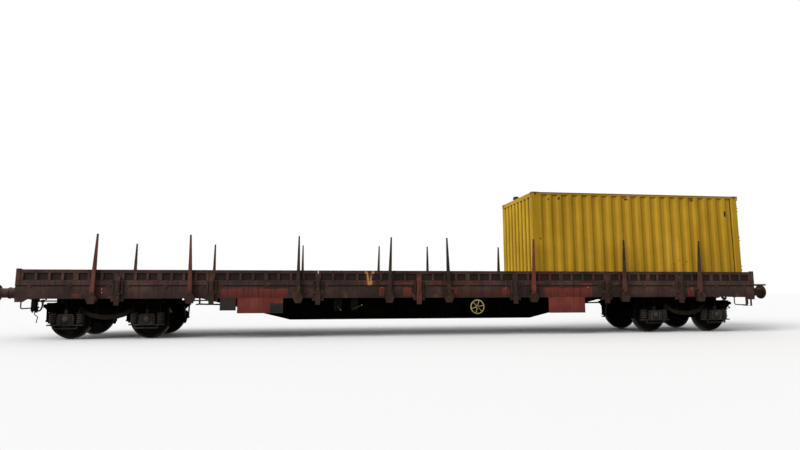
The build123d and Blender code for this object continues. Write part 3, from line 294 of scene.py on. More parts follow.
# Forged stanchions: thin paint over old rust, rubbed by the loads
stanchionLook = dict(oxideLook, tones=("#221b13", "#31281b", "#443827"), rust="#543a25", rustSize=170,
    rustFrom=0.57, driftSize=500)
stanchionPaint = weatheredPaint("rubbed_paint_on_forged_steel", stanchionLook)
stanchionRed = weatheredPaint("red_primer_on_forged_steel", stanchionLook,
    tones=("#452a1e", "#583527", "#6b4534"), rust="#6a422d", fade=(2.3, 1.5, 0.5, "#652f28"))
stanchionBrown = weatheredPaint("brown_primer_on_forged_steel", stanchionLook,
    tones=("#2f221b", "#3d2c24", "#4e392f"), rust="#5a3a29", fade=(1.8, 1.35, 0.6, "#54302a"))
stanchionRust = weatheredPaint("bare_rust_on_forged_steel", stanchionLook,
    tones=("#4b291f", "#62342a", "#744236"), rust="#6c3f2c", fade=(2.3, 1.5, 0.5, "#74322a"))
# Black bitumen paint under the floor: soot-dark with brown road dust on each ledge
girderPaint = weatheredPaint("bitumen_paint_on_welded_plate", tones=("#0c0a09", "#12100e", "#1a1613"),
    dirt="#090807", rust="#241a15", dust="#241f1b", rustSize=320, rustFrom=0.6, roughness=0.75, shine=0.0)
# Cast and welded bogie steel under years of oily brake dust, with painted shade that makes the sunk web
# near black
bogieLook = dict(oxideLook, tones=("#100e0d", "#191614", "#24201c"), dirt="#0b0a09", rust="#2d251f",
    dust="#37312b", rustSize=190, rustFrom=0.58, roughness=0.7, dustDepth=0.6, streakDepth=0.45, shine=0.0,
    hollowTone="#080706")
bogiePaint = weatheredPaint("oily_dust_on_cast_steel", bogieLook, hollows=[(0.0, 1.03, 0.3, 0.85, 0.85)],
    fade=(0.66, 0.58, 0.8, "#2c2722"))
# The cast boxes carry a paler grey dust than the frames behind them, with painted shade on their inner
# parts
boxPaint = weatheredPaint("grey_dust_on_cast_box", bogieLook, tones=("#272421", "#37332f", "#48433d"),
    hollows=[(0.0, 0.99, 0.3, 0.85, 0.8)])
# Coil spring steel: black paint with dust in the gaps and a rubbed face
springPaint = weatheredPaint("dusty_paint_on_spring_steel", tones=("#26231f", "#35312c", "#47423b"),
    dirt="#0e0c0b", rust="#3c3128", dust="#57504a", rustSize=90, rustFrom=0.6, dustDepth=0.75)
# Grey paint on the cast covers, chalked and rubbed, the palest spot of each bogie
coverPaint = weatheredPaint("grey_paint_on_cast_cover", tones=("#3a3733", "#4f4b46", "#67625b"),
    dirt="#1e1b18", rust="#4c3e33", rustSize=90, rustFrom=0.64, dustDepth=0.4, dust="#6b655d")
# Brown-black enamel on the small forged latches, with pale dust on their tops
latchPaint = weatheredPaint("dark_enamel_on_forged_latch", tones=("#241e1a", "#322a25", "#483e37"),
    dirt="#181311", rust="#4c362a", rustSize=60, rustFrom=0.58, streakSize=30, dustDepth=0.5,
    dust="#6a6058")
# Bolts and pins keep a darker, greasier coat than the plates they hold
boltPaint = weatheredPaint("greasy_paint_on_bolts", tones=("#211915", "#2e231d", "#3f3028"), rustSize=40,
    rustFrom=0.55)
# Faded yellow enamel on corrugated steel, chalky, with thin rain streaks and rust at knocks, painted shade
# toward the inner faces of the corrugation, and a dark strip of painted shadow beside the door post
containerLook = dict(oxideLook, tones=("#a57e1d", "#b18922", "#bb9229"), dirt="#7c611c", rust="#80602a",
    dust="#96814b", driftSize=1500, streakSize=42, streakDepth=0.4, streakTall=0.035, rustSize=130,
    rustFrom=0.74, grainSize=7, grainDepth=0.7, dustDepth=0.5, roughness=0.6, shine=0.07,
    markTone="#3d2814", wear=0.004, sunk=("Y", 1.212, 1.177, 0.12), sunkTone="#6e5110",
    marks=[((3.562, -1.19, 3.56), 0.034), ((3.85, -1.19, 3.587), 0.046), ((5.791, -1.19, 3.6), 0.042),
    ((7.757, -1.19, 3.62), 0.044), ((3.24, -1.21, 2.56), 0.038), ((3.3, -1.2, 2.5), 0.028),
    ((6.98, -1.19, 1.95), 0.02), ((7.13, -1.19, 1.84), 0.024), ((7.26, -1.19, 1.95), 0.022),
    ((7.35, -1.19, 1.82), 0.03), ((7.48, -1.19, 1.91), 0.024), ((7.62, -1.19, 2.02), 0.02)],
    patches=[(8.914, 8.938, 1.47, 3.69, "#3d2e10")])
containerPaint = weatheredPaint("faded_yellow_enamel_on_steel", containerLook)
# The end wall is painted a shade brighter as the lit face, with painted deep shade in its close corrugation
containerEnd = weatheredPaint("yellow_enamel_with_painted_light_on_end_wall", containerLook,
    tones=("#b08a1c", "#bd9722", "#c9a22a"), marks=[], patches=[], sunk=("X", 3.101, 3.138, 0.85),
    sunkTone="#4e3607")
# The same enamel on posts and rails, scuffed, with more rust at the corners, and a dark line painted along
# the top of the side rails
containerFrame = weatheredPaint("yellow_enamel_on_frame_steel", containerLook,
    tones=("#9a7518", "#ab831b", "#b9922a"), rust="#6e4520", rustSize=70, rustFrom=0.66, streakDepth=0.45,
    patches=[], marks=[], sunk=None, hollows=[(1.1, 1.3, 3.722, 3.76, 0.8)], hollowTone="#3d2c12")
# Board enamel: a red oxide coat over sheet, with the end board of each side left grey
boardPaint = weatheredPaint("red_enamel_on_sheet", tones=("#592621", "#692d28", "#773831"), dirt="#3a201b",
    rust="#4d2c22", rustFrom=0.64, streakDepth=0.5, dustDepth=0.3,
    patches=[(-4.9, -4.43, 0.6, 0.99, "#2b2826"), (-3.645, -3.339, 0.58, 0.83, "#2b2827")])
# Pale yellow enamel on the handwheels and levers, with everything behind the rim face painted near black as
# shade
handwheelPaint = weatheredPaint("pale_yellow_enamel_on_cast_rim", tones=("#958852", "#ab9d63", "#bcae74"),
    dirt="#6e6242", rust="#6a4a30", rustSize=60, rustFrom=0.64, streakDepth=0.4, dustDepth=0.15,
    hollows=[(0.0, 1.372, 0.5, 1.0, 1.0)], hollowTone="#100e0c")
# Dark matt paint on pressed sheet, near black with a little rust
ventPaint = weatheredPaint("dark_paint_on_pressed_cowl", tones=("#1d1a18", "#282422", "#35302d"),
    rust="#4a3526", rustSize=80)
# Dabs of white enamel, chalky and a little dirty, that read as dots
dotPaint = weatheredPaint("white_enamel_on_rivet_heads", tones=("#8f8a83", "#b5b0a8", "#c9c5be"),
    dirt="#6e665d", rust="#7a5a45", rustSize=40, rustFrom=0.66, streakDepth=0.3, dustDepth=0.1)
# Zinc gone dull on small fittings: a soft grey sheen with specks of rust
plateSteel = weatheredPaint("dull_zinc_on_steel_plate", tones=("#66625a", "#7c776c", "#918b7e"),
    dirt="#4a443b", rust="#6b4a33", rustFrom=0.64, rustSize=90, metallic=0.3, roughness=0.55)
print("paints made")


# Sawn pine planks laid across the frame, grey with weather: each has its own tone, grain runs along Y
def deckWood():
    material, tree, shader, place = startMaterial("weathered_pine_planks")
    split = addNode(tree, "SeparateXYZ", [place])
    plank = addNode(tree, "Math", [split, 1 / wagon["plankPitch"]], "MULTIPLY")
    shifted = addNode(tree, "Math", [plank, 100.0], "ADD")
    number = addNode(tree, "Math", [shifted], "FLOOR")
    own = addNode(tree, "TexWhiteNoise", {"W": number}, {"noise_dimensions": "1D"})
    tone = addNode(tree, "ValToRGB", {"Fac": own}, stops=[(0.0, "#4b4036"), (0.5, "#62564a"),
        (1.0, "#756a5c")])
    long = addNode(tree, "Mapping", {"Vector": place, "Scale": (1.0, 0.05, 1.0)})
    grain = addNode(tree, "TexNoise", {"Vector": long, "W": number, "Scale": 110.0, "Detail": 6.0,
        "Roughness": 0.65}, {"noise_dimensions": "4D"})
    lines = addNode(tree, "ValToRGB", {"Fac": grain}, stops=[(0.35, 0.55), (0.65, 1.0)])
    colour = addNode(tree, "Mix", {0: 1.0, 6: tone, 7: lines}, multiply)
    stain = addNode(tree, "TexNoise", {"Vector": place, "Scale": 2.2, "Detail": 5.0})
    dark = addNode(tree, "ValToRGB", {"Fac": stain}, stops=[(0.5, 0.0), (0.7, 0.7)])
    soiled = addNode(tree, "Mix", {0: dark, 6: colour.outputs[2], 7: "#2c241d"}, blend)
    bump = addNode(tree, "Bump", {"Height": grain, "Strength": 0.7, "Distance": 0.002})
    setInputs(tree, shader, {"Base Color": soiled.outputs[2], "Roughness": 0.85, "Normal": bump})
    return material


# Rolled wheel steel: dusty web, and a tread polished by the rail
def wheelSteel():
    material, tree, shader, place = startMaterial("rolled_wheel_steel")
    split = addNode(tree, "SeparateXYZ", [place])
    # Axles stand at plus and minus pivotX plus and minus halfBase, so two folds leave one
    side = addNode(tree, "Math", [split], "ABSOLUTE")
    centred = addNode(tree, "Math", [side, wagon["pivotX"]], "SUBTRACT")
    folded = addNode(tree, "Math", [centred], "ABSOLUTE")
    across = addNode(tree, "Math", [folded, wagon["halfBase"]], "SUBTRACT")
    height = addNode(tree, "Math", [split.outputs["Z"], wagon["axleZ"]], "SUBTRACT")
    spot = addNode(tree, "CombineXYZ", {"X": across, "Z": height})
    radius = addNode(tree, "VectorMath", [spot], "LENGTH")
    tread = addNode(tree, "MapRange", [radius.outputs["Value"], wagon["wheelRadius"] - 0.006,
        wagon["wheelRadius"] - 0.003])
    dust = addNode(tree, "TexNoise", {"Vector": place, "Scale": 6.0, "Detail": 6.0, "Roughness": 0.65})
    web = addNode(tree, "ValToRGB", {"Fac": dust}, stops=[(0.35, "#0d0b0a"), (0.5, "#15120f"),
        (0.68, "#231c17")])
    ring = addNode(tree, "ValToRGB", {"Fac": radius.outputs["Value"]},
        stops=[(0.39, 1.0), (0.4, 0.62), (0.412, 1.0)])
    shaded = addNode(tree, "Mix", {0: 1.0, 6: web, 7: ring}, multiply)
    colour = addNode(tree, "Mix", {0: tread, 6: shaded.outputs[2], 7: "#4d4a46"}, blend)
    gloss = addNode(tree, "MapRange", {"Value": tread, "To Min": 0.8, "To Max": 0.42})
    grain = addNode(tree, "TexNoise", {"Vector": place, "Scale": 90.0, "Detail": 5.0})
    bump = addNode(tree, "Bump", {"Height": grain, "Strength": 0.4, "Distance": 0.001})
    setInputs(tree, shader, {"Base Color": colour.outputs[2], "Metallic": tread, "Roughness": gloss,
        "Normal": bump, "Specular IOR Level": 0.06})
    return material


# Buffer steel: reddish primer gone brown, with a greased and rubbed disc on each face
def bufferSteel():
    material = weatheredPaint("rubbed_primer_on_buffer_steel", tones=("#2e1f19", "#40291f", "#55392b"),
        rust="#5f3d2a", rustFrom=0.56)
    tree = material.node_tree
    shader = tree.nodes["Principled BSDF"]
    place = tree.nodes["Texture Coordinate"].outputs["Object"]
    split = addNode(tree, "SeparateXYZ", [place])
    aside = addNode(tree, "Math", [split.outputs["Y"]], "ABSOLUTE")
    spot = addNode(tree, "CombineXYZ", {"Y": aside, "Z": split.outputs["Z"]})
    far = addNode(tree, "VectorMath", [spot, (0.0, wagon["bufferY"], wagon["bufferZ"])], "DISTANCE")
    smear = addNode(tree, "TexNoise", {"Vector": place, "Scale": 30.0, "Detail": 4.0})
    worn = addNode(tree, "MapRange", {"Value": smear, "To Min": -0.05, "To Max": 0.05})
    edge = addNode(tree, "Math", [far.outputs["Value"], worn], "ADD")
    disc = addNode(tree, "MapRange", [edge, 0.1, 0.14, 0.85, 0.0])
    end = addNode(tree, "Math", [split], "ABSOLUTE")
    face = addNode(tree, "Math", [end, wagon["bufferFace"]], "GREATER_THAN")
    cover = addNode(tree, "Math", [disc, face], "MULTIPLY")
    painted = shader.inputs["Base Color"].links[0].from_socket
    colour = addNode(tree, "Mix", {0: cover, 6: painted, 7: "#4b4640"}, blend)
    setInputs(tree, shader, {"Base Color": colour.outputs[2], "Metallic": cover})
    return material


# Black brake hose rubber with a fabric wrap that shows as fine cross rings
def hoseRubber():
    material, tree, shader, place = startMaterial("fabric_wrapped_rubber")
    wrap = addNode(tree, "TexWave", {"Vector": place, "Scale": 55.0, "Distortion": 1.2, "Detail": 2.0},
        {"wave_type": "BANDS", "bands_direction": "DIAGONAL"})
    tone = addNode(tree, "ValToRGB", {"Fac": wrap.outputs["Fac"]},
        stops=[(0.2, "#151413"), (0.9, "#2a2826")])
    bump = addNode(tree, "Bump", {"Height": wrap.outputs["Fac"], "Strength": 0.5, "Distance": 0.001})
    setInputs(tree, shader, {"Base Color": tone, "Roughness": 0.72, "Normal": bump})
    return material


# Oiled birch plywood: warm brown sheets with pale scuffs along the length
def floorPly():
    material, tree, shader, place = startMaterial("oiled_birch_plywood")
    long = addNode(tree, "Mapping", {"Vector": place, "Scale": (0.08, 1.0, 1.0)})
    grain = addNode(tree, "TexNoise", {"Vector": long, "Scale": 60.0, "Detail": 6.0, "Roughness": 0.6})
    tone = addNode(tree, "ValToRGB", {"Fac": grain}, stops=[(0.32, "#5a4128"), (0.55, "#765537"),
        (0.75, "#8d7050")])
    sheets = addNode(tree, "TexBrick",
        {"Vector": place, "Color1": "#ffffff", "Color2": (0.82, 0.82, 0.82, 1.0),
        "Mortar": (0.15, 0.15, 0.15, 1.0), "Scale": 1.0, "Mortar Size": 0.003, "Brick Width": 2.4,
        "Row Height": 1.169}, {"offset": 0.0})
    colour = addNode(tree, "Mix", {0: 1.0, 6: tone, 7: sheets}, multiply)
    bump = addNode(tree, "Bump", {"Height": grain, "Strength": 0.3, "Distance": 0.001})
    setInputs(tree, shader, {"Base Color": colour.outputs[2], "Roughness": 0.6, "Normal": bump})
    return material


plankWood = deckWood()
wheelMetal = wheelSteel()
bufferMetal = bufferSteel()
rubber = hoseRubber()
plywood = floorPly()


def dress(material, *nodes):
    for name in nodes:
        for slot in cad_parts[name].material_slots:
            slot.material = material


dress(sidePaint, "drop_sides", "end_board_left", "end_board_right", "corner_posts")
dress(solebarPaint, "solebars", "headstocks", "board_hinges")
dress(postPaint, "side_posts", "stanchion_pockets", "end_fittings")
dress(girderPaint, "centre_girders", "cross_bearers", "body_bolsters", "air_gear")
dress(plankWood, "deck_boards")
dress(bufferMetal, "buffer_heads", "buffer_housings")
dress(boltPaint, "draw_hooks")
dress(boardPaint, "notice_boards")
dress(handwheelPaint, "handbrake_wheels")
dress(rubber, "brake_hoses")
dress(containerPaint, "container_walls", "container_roof", "door_near", "door_far")
dress(containerEnd, "container_end_wall")
dress(containerFrame, "container_base", "container_posts", "container_rails", "door_hinges")
dress(plywood, "container_floor")
dress(ventPaint, "roof_vent")
for material, nearOnes, farOnes in ((stanchionPaint, (3, 4, 5), (5, 6, 7, 8)), (stanchionRust, (6,), ()),
                                    (stanchionRed, (1, 2), ()), (stanchionBrown, (7, 8), (1, 2, 3, 4))):
    dress(material, *[f"stanchion_near_{number}" for number in nearOnes])
    dress(material, *[f"stanchion_far_{number}" for number in farOnes])
for side in ("left", "right"):
    dress(bogiePaint, f"bogie_{side}_frame", f"bogie_{side}_brakes")
    dress(boxPaint, f"bogie_{side}_axleboxes")
    dress(springPaint, f"bogie_{side}_springs")
dress(wheelMetal, *[f"wheelset_{number}" for number in range(1, 5)])
print("frame dressed")


def addBlock(shape, low, high, rounding=0.0, segments=1):
    size = [abs(b - a) for a, b in zip(low, high)]
    middle = [(a + b) / 2 for a, b in zip(low, high)]
    place = Matrix.Translation(middle) @ Matrix.Diagonal((*size, 1.0))
    made = bmesh.ops.create_cube(shape, size=1.0, matrix=place)
    if rounding:
        edges = list({edge for vert in made["verts"] for edge in vert.link_edges})
        bmesh.ops.bevel(shape, geom=edges, offset=rounding, segments=segments, affect="EDGES", profile=0.5,
            material=-1)


def addRod(shape, start, end, radius, sides=16, tip=None):
    line = Vector(end) - Vector(start)
    place = (Matrix.Translation((Vector(start) + Vector(end)) / 2)
             @ line.to_track_quat("Z", "Y").to_matrix().to_4x4())
    bmesh.ops.create_cone(shape, cap_ends=True, segments=sides, radius1=radius,
        radius2=radius if tip is None else tip, depth=line.length, matrix=place)


# Hexagon head on a washer, looking along a direction
def addBolt(shape, centre, direction, radius):
    way = Vector(direction).normalized()
    foot = Vector(centre)
    addRod(shape, foot - way * 0.001, foot + way * radius * 0.22, radius * 1.35, sides=10)
    addRod(shape, foot + way * radius * 0.2, foot + way * radius * 0.85, radius, sides=6, tip=radius * 0.9)


# Low round rivet head
def addRivet(shape, centre, direction, radius, height):
    way = Vector(direction).normalized()
    foot = Vector(centre)
    addRod(shape, foot - way * 0.001, foot + way * height, radius, sides=8, tip=radius * 0.55)


# Profile of pairs (along the axis, radius) turned about an axis
def addTurned(shape, profile, origin, axis, steps=32):
    way = Vector(axis).normalized()
    out = way.orthogonal().normalized()
    verts = [shape.verts.new(Vector(origin) + way * along + out * radius) for along, radius in profile]
    edges = [shape.edges.new(pair) for pair in zip(verts[:-1], verts[1:])]
    bmesh.ops.spin(shape, geom=verts + edges, cent=origin, axis=way, angle=2 * math.pi, steps=steps,
        use_merge=True)
    bmesh.ops.remove_doubles(shape, verts=shape.verts[:], dist=0.00002)


def makePiece(name, shape, material, body="underframe", smooth=35):
    bmesh.ops.recalc_face_normals(shape, faces=shape.faces[:])
    mesh = bpy.data.meshes.new(name)
    shape.to_mesh(mesh)
    shape.free()
    mesh.materials.append(material)
    if smooth:
        mesh.shade_smooth()
        mesh.set_sharp_from_angle(angle=math.radians(smooth))
    piece = bpy.data.objects.new(name, mesh)
    bpy.context.scene.collection.objects.link(piece)
    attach(piece, body)
    return piece


def makePipe(name, points, radius, material, body="underframe", resolution=3):
    line = bpy.data.curves.new(name, "CURVE")
    line.dimensions = "3D"
    run = line.splines.new("NURBS")
    run.points.add(len(points) - 1)
    for mark, point in zip(run.points, points):
        mark.co = (*point, 1.0)
    run.order_u = 3
    run.use_endpoint_u = True
    line.resolution_u = 8
    line.bevel_depth = radius
    line.bevel_resolution = resolution
    line.use_fill_caps = True
    line.materials.append(material)
    piece = bpy.data.objects.new(name, line)
    bpy.context.scene.collection.objects.link(piece)
    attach(piece, body)
    return piece


# Brake hoses hang from the cock to the hook beside it, one at each end of the wagon
hoseSet = {"x": 9.39, "y": 0.3, "span": 0.4, "top": 0.852, "drop": 0.64, "radius": 0.02, "length": 0.654,
    "clampRadius": 0.0255, "clampHigh": 0.02}


def makeHoses():
    for side, hand in (("right", 1), ("left", -1)):
        x, y = hand * hoseSet["x"], hand * hoseSet["y"]
        inner = hand * (hoseSet["y"] - hoseSet["span"])
        route = [(x, y, hoseSet["top"]), (x, y, hoseSet["drop"]), (x, inner, hoseSet["drop"]),
            (x, inner, hoseSet["top"])]
        hose = makePipe(f"brakeHose_{side}", route, hoseSet["radius"], rubber, resolution=5)
        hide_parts("brake_hoses")
        shape = bmesh.new()
        for place in (y, inner):
            low = hoseSet["top"] - hoseSet["clampHigh"] - 0.008
            addRod(shape, (x, place, low), (x, place, hoseSet["top"] - 0.004), hoseSet["clampRadius"],
                sides=20)
            addBlock(shape, (x + hand * 0.018, place - 0.006, low + 0.004),
                (x + hand * 0.036, place + 0.006, low + 0.016), 0.002)
        clamps = makePiece(f"hoseClamps_{side}", shape, plateSteel)


makeHoses()
print("hoses hung")

# Coil springs: an outer and an inner coil wound opposite ways in each nest
springSet = {"low": 0.353, "high": 0.613, "offset": 0.3, "y": 1.0, "steps": 15,
    "coils": ((0.077, 0.0148, 5, 1), (0.042, 0.0095, 7, -1))}


def addCoil(shape, x, y, radius, wire, turns, hand):
    low = springSet["low"] + wire
    rise = springSet["high"] - wire - low
    made = bmesh.ops.create_circle(shape, cap_ends=False, segments=8, radius=wire,
        matrix=(Matrix.Translation((x + radius, y, low)) @ Matrix.Rotation(math.pi / 2, 4, "X")))
    edges = list({edge for vert in made["verts"] for edge in vert.link_edges})
    steps = turns * springSet["steps"]
    swept = bmesh.ops.spin(shape, geom=made["verts"] + edges, cent=(x, y, low), axis=(0.0, 0.0, hand),
        dvec=(0.0, 0.0, rise / steps), angle=2 * math.pi * turns, steps=steps, use_merge=False)
    bmesh.ops.contextual_create(shape, geom=edges)
    last = [part for part in swept["geom_last"] if isinstance(part, bmesh.types.BMEdge)]
    bmesh.ops.contextual_create(shape, geom=last)


def makeSprings():
    for side, hand in (("left", -1), ("right", 1)):
        shape = bmesh.new()
        for axle, at in pairs:
            x = hand * wagon["pivotX"] + axle * wagon["halfBase"] + at * springSet["offset"]
            for across in hands:
                y = across * springSet["y"]
                for radius, wire, turns, way in springSet["coils"]:
                    addCoil(shape, x, y, radius, wire, turns, way)
                for low, high in ((springSet["low"], springSet["low"] + 0.012),
                                  (springSet["high"] - 0.012, springSet["high"])):
                    addRod(shape, (x, y, low), (x, y, high), 0.06, sides=20)
        coils = makePiece(f"coilSprings_{side}", shape, springPaint, f"bogie_{side}",
            smooth=50)
        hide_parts(f"bogie_{side}_springs")


makeSprings()
print("springs wound")

# Axlebox covers, damper links, ribs and rods of the bogies
bogieSet = {"coverY": 1.092, "coverOut": 1.124, "coverRadius": 0.098, "coverBolts": 6, "coverBoltAt": 0.078,
    "linkX": 0.3, "linkY": 1.077, "linkLow": 0.6, "linkHigh": 0.7, "ribs": (-0.46, -0.22, 0.22, 0.46),
    "rodY": 0.26, "rodZ": 0.372, "beamReach": 0.533}


def makeBogieDetail(side, hand):
    body = f"bogie_{side}"
    middle = hand * wagon["pivotX"]
    covers = bmesh.new()
    bolts = bmesh.new()
    links = bmesh.new()
    for axle, across in pairs:
        x = middle + axle * wagon["halfBase"]
        out = (0.0, across, 0.0)
        start = (x, across * bogieSet["coverY"], wagon["axleZ"])
        depth = bogieSet["coverOut"] - bogieSet["coverY"]
        addTurned(covers, [(-0.002, 0.0), (-0.002, bogieSet["coverRadius"]),
            (0.014, bogieSet["coverRadius"]), (0.018, 0.094), (0.02, 0.062), (depth, 0.052),
            (depth + 0.003, 0.0)], start, out, 28)
        for i in range(bogieSet["coverBolts"]):
            turn = 2 * math.pi * (i + 0.5) / bogieSet["coverBolts"]
            spot = (x + bogieSet["coverBoltAt"] * math.cos(turn), across * (bogieSet["coverY"] + 0.018),
                wagon["axleZ"] + bogieSet["coverBoltAt"] * math.sin(turn))
            addBolt(bolts, spot, out, 0.009)
        for corner in ((-0.15, 0.07), (0.15, 0.07), (-0.15, -0.12), (0.15, -0.12)):
            addBolt(bolts, (x + corner[0], across * bogieSet["coverY"], wagon["axleZ"] + corner[1]), out,
                0.014)
        # Ribs of the cast box beside its cover
        for at in (-0.115, 0.115):
            addBlock(covers, (x + at - 0.006, across * 1.09, 0.345),
                (x + at + 0.006, across * 1.108, 0.585), 0.003)
        # Rubbing links of the damper hang from the frame over the inner spring
        linkX = x - axle * bogieSet["linkX"]
        addBlock(links, (linkX - 0.024, across * bogieSet["linkY"], bogieSet["linkLow"]),
            (linkX + 0.024, across * (bogieSet["linkY"] + 0.014), bogieSet["linkHigh"]), 0.01, 3)
        for z in (bogieSet["linkLow"] + 0.025, bogieSet["linkHigh"] - 0.025):
            addRod(links, (linkX, across * 0.93, z), (linkX, across * (bogieSet["linkY"] + 0.026), z),
                0.015)
        # Ribs on the frame over each axle
        for at in (-0.12, 0.12):
            addBlock(links, (x + at - 0.006, across * 1.007, 0.72), (x + at + 0.006, across * 1.066, 0.843),
                0.003)
    for across in hands:
        for at in bogieSet["ribs"]:
            low = 0.56 if abs(at) < 0.3 else 0.6
            addBlock(links, (middle + at - 0.006, across * 1.007, low),
                (middle + at + 0.006, across * 1.064, 0.843), 0.003)
        # Rolled rim in the middle of the frame
        addTurned(links, [(0.0, 0.075), (0.012, 0.075), (0.012, 0.092), (0.0, 0.092)],
            (middle, across * 1.007, 0.7), (0.0, across, 0.0), 24)
        addRod(links, (middle - 0.14, across * 0.85, 0.875), (middle + 0.14, across * 0.85, 0.875), 0.03)
        for at in (-0.08, 0.08, -1.15, -0.65, 0.65, 1.15):
            addBolt(bolts, (middle + at, across * 1.045, 0.858), (0.0, 0.0, 1.0), 0.013)
    # Push rods under the axles join the two beams of each axle
    for axle, across in pairs:
        x = middle + axle * wagon["halfBase"]
        y = across * bogieSet["rodY"]
        addRod(links, (x - bogieSet["beamReach"], y, bogieSet["rodZ"]),
            (x + bogieSet["beamReach"], y, bogieSet["rodZ"]), 0.016)
        for at in hands:
            end = x + at * bogieSet["beamReach"]
            addBlock(links, (end - 0.03, y - 0.022, bogieSet["rodZ"] - 0.025),
                (end + 0.03, y + 0.022, 0.44), 0.006)
    makePiece(f"axleboxCovers_{side}", covers, coverPaint, body)
    makePiece(f"bogieBolts_{side}", bolts, boltPaint, body, smooth=0)
    makePiece(f"damperLinks_{side}", links, bogiePaint, body)


makeBogieDetail("left", -1)
makeBogieDetail("right", 1)
print("bogies detailed")

# Posts: latches with eyes and bosses, and bolts at the foot
latchSet = {"at": 0.098, "halfWidth": 0.019, "top": 1.353, "foot": 1.101, "face": 1.377, "thick": 0.021,
    "eye": 0.033, "boltZ": (0.835, 0.905), "boltX": 0.034, "front": 1.422}


def makeLatches():
    bars = bmesh.new()
    bolts = bmesh.new()
    for post in wagon["posts"]:
        for across in hands:
            for hand in hands:
                x = post + hand * latchSet["at"]
                face = across * (latchSet["face"] - 0.0015)
                out = across * (latchSet["face"] + latchSet["thick"])
                addBlock(bars, (x - latchSet["halfWidth"], face, latchSet["foot"]),
                    (x + latchSet["halfWidth"], out, latchSet["top"]), 0.004, 2)
                addRod(bars, (x, face, latchSet["top"]), (x, across * (latchSet["face"] + 0.026),
                    latchSet["top"]), latchSet["eye"], sides=20)
                addRod(bars, (x, face, latchSet["foot"] + 0.022),
                    (x, across * (latchSet["face"] + 0.03), latchSet["foot"] + 0.022), 0.025, sides=20)
                addBolt(bolts, (x, across * (latchSet["face"] + 0.026), latchSet["top"]),
                    (0.0, across, 0.0), 0.0145)
            for z in latchSet["boltZ"]:
                for hand in hands:
                    spot = (post + hand * latchSet["boltX"], across * latchSet["front"], z)
                    addBolt(bolts, spot, (0.0, across, 0.0), 0.013)
    makePiece("sideLatches", bars, latchPaint)
    makePiece("postBolts", bolts, boltPaint, smooth=0)


makeLatches()

# Drop sides: rivets at the ribs and hinge knuckles at the straps
sideSet = {"rivetRadius": 0.011, "rivetHigh": 0.004, "bandZ": 1.345, "railZ": 1.575, "strapInset": 0.2,
    "strapZ": 1.222, "panels": ((-9.235, -7.127, 0.128, 0.284), (-7.117, -5.015, -0.139, 0.272),
    (-5.005, -2.514, 0.0, 0.299), (-2.504, -0.005, 0.0, 0.299))}


def makeSideDetail():
    rivets = bmesh.new()
    knuckles = bmesh.new()
    for left, right, wideAt, pitch in sideSet["panels"]:
        middle = (left + right) / 2
        wide = middle + wideAt
        leftCount = int((wide - left - 0.06) // pitch)
        rightCount = int((right - wide - 0.06) // pitch)
        ribs = [wide + i * pitch for i in range(-leftCount, rightCount + 1)] + [left + 0.03, right - 0.03]
        straps = [middle + i * ((right - left) / 2 - sideSet["strapInset"]) for i in (-1, 0, 1)]
        for half, across in pairs:
            out = (0.0, across, 0.0)
            for x in ribs:
                for z in (sideSet["bandZ"], sideSet["railZ"]):
                    addRivet(rivets, (half * x, across * wagon["sideY"], z), out, sideSet["rivetRadius"],
                        sideSet["rivetHigh"])
            for x in straps:
                for at in (-0.022, 0.022):
                    addRivet(rivets, (half * x + at, across * wagon["sideY"], sideSet["strapZ"]), out, 0.01,
                        0.004)
                addRod(knuckles, (half * x - 0.06, across * 1.355, 1.247),
                    (half * x + 0.06, across * 1.355, 1.247), 0.0165)
    makePiece("sideRivets", rivets, sidePaint, smooth=0)
    makePiece("sideKnuckles", knuckles, boltPaint)


makeSideDetail()
print("sides detailed")

# Deck nails in pairs, over the solebars and both girders
deckSet = {"count": 76, "half": 9.28, "rows": (-1.25, -0.42, 0.42, 1.25), "radius": 0.009}


def makeNails():
    shape = bmesh.new()
    pitch = 2 * deckSet["half"] / deckSet["count"]
    for i in range(deckSet["count"]):
        for row in deckSet["rows"]:
            for at in (-0.06, 0.06):
                x = -deckSet["half"] + (i + 0.5) * pitch + at
                y = row + random.uniform(-0.012, 0.012)
                addRivet(shape, (x, y, wagon["deckZ"]), (0.0, 0.0, 1.0), deckSet["radius"], 0.003)
    makePiece("deckNails", shape, boltPaint, smooth=0)


makeNails()

# Ends: bolts of the buffers and the hook plate, coupling screw with its bar, lamp irons
endSet = {"plateX": 9.355, "boltAt": 0.135, "hookX": 9.35, "linkX": 9.475, "screwLow": 0.702,
    "screwHigh": 0.885, "threadRadius": 0.022, "threadCount": 22, "lampY": 1.17, "lampLow": 1.1}


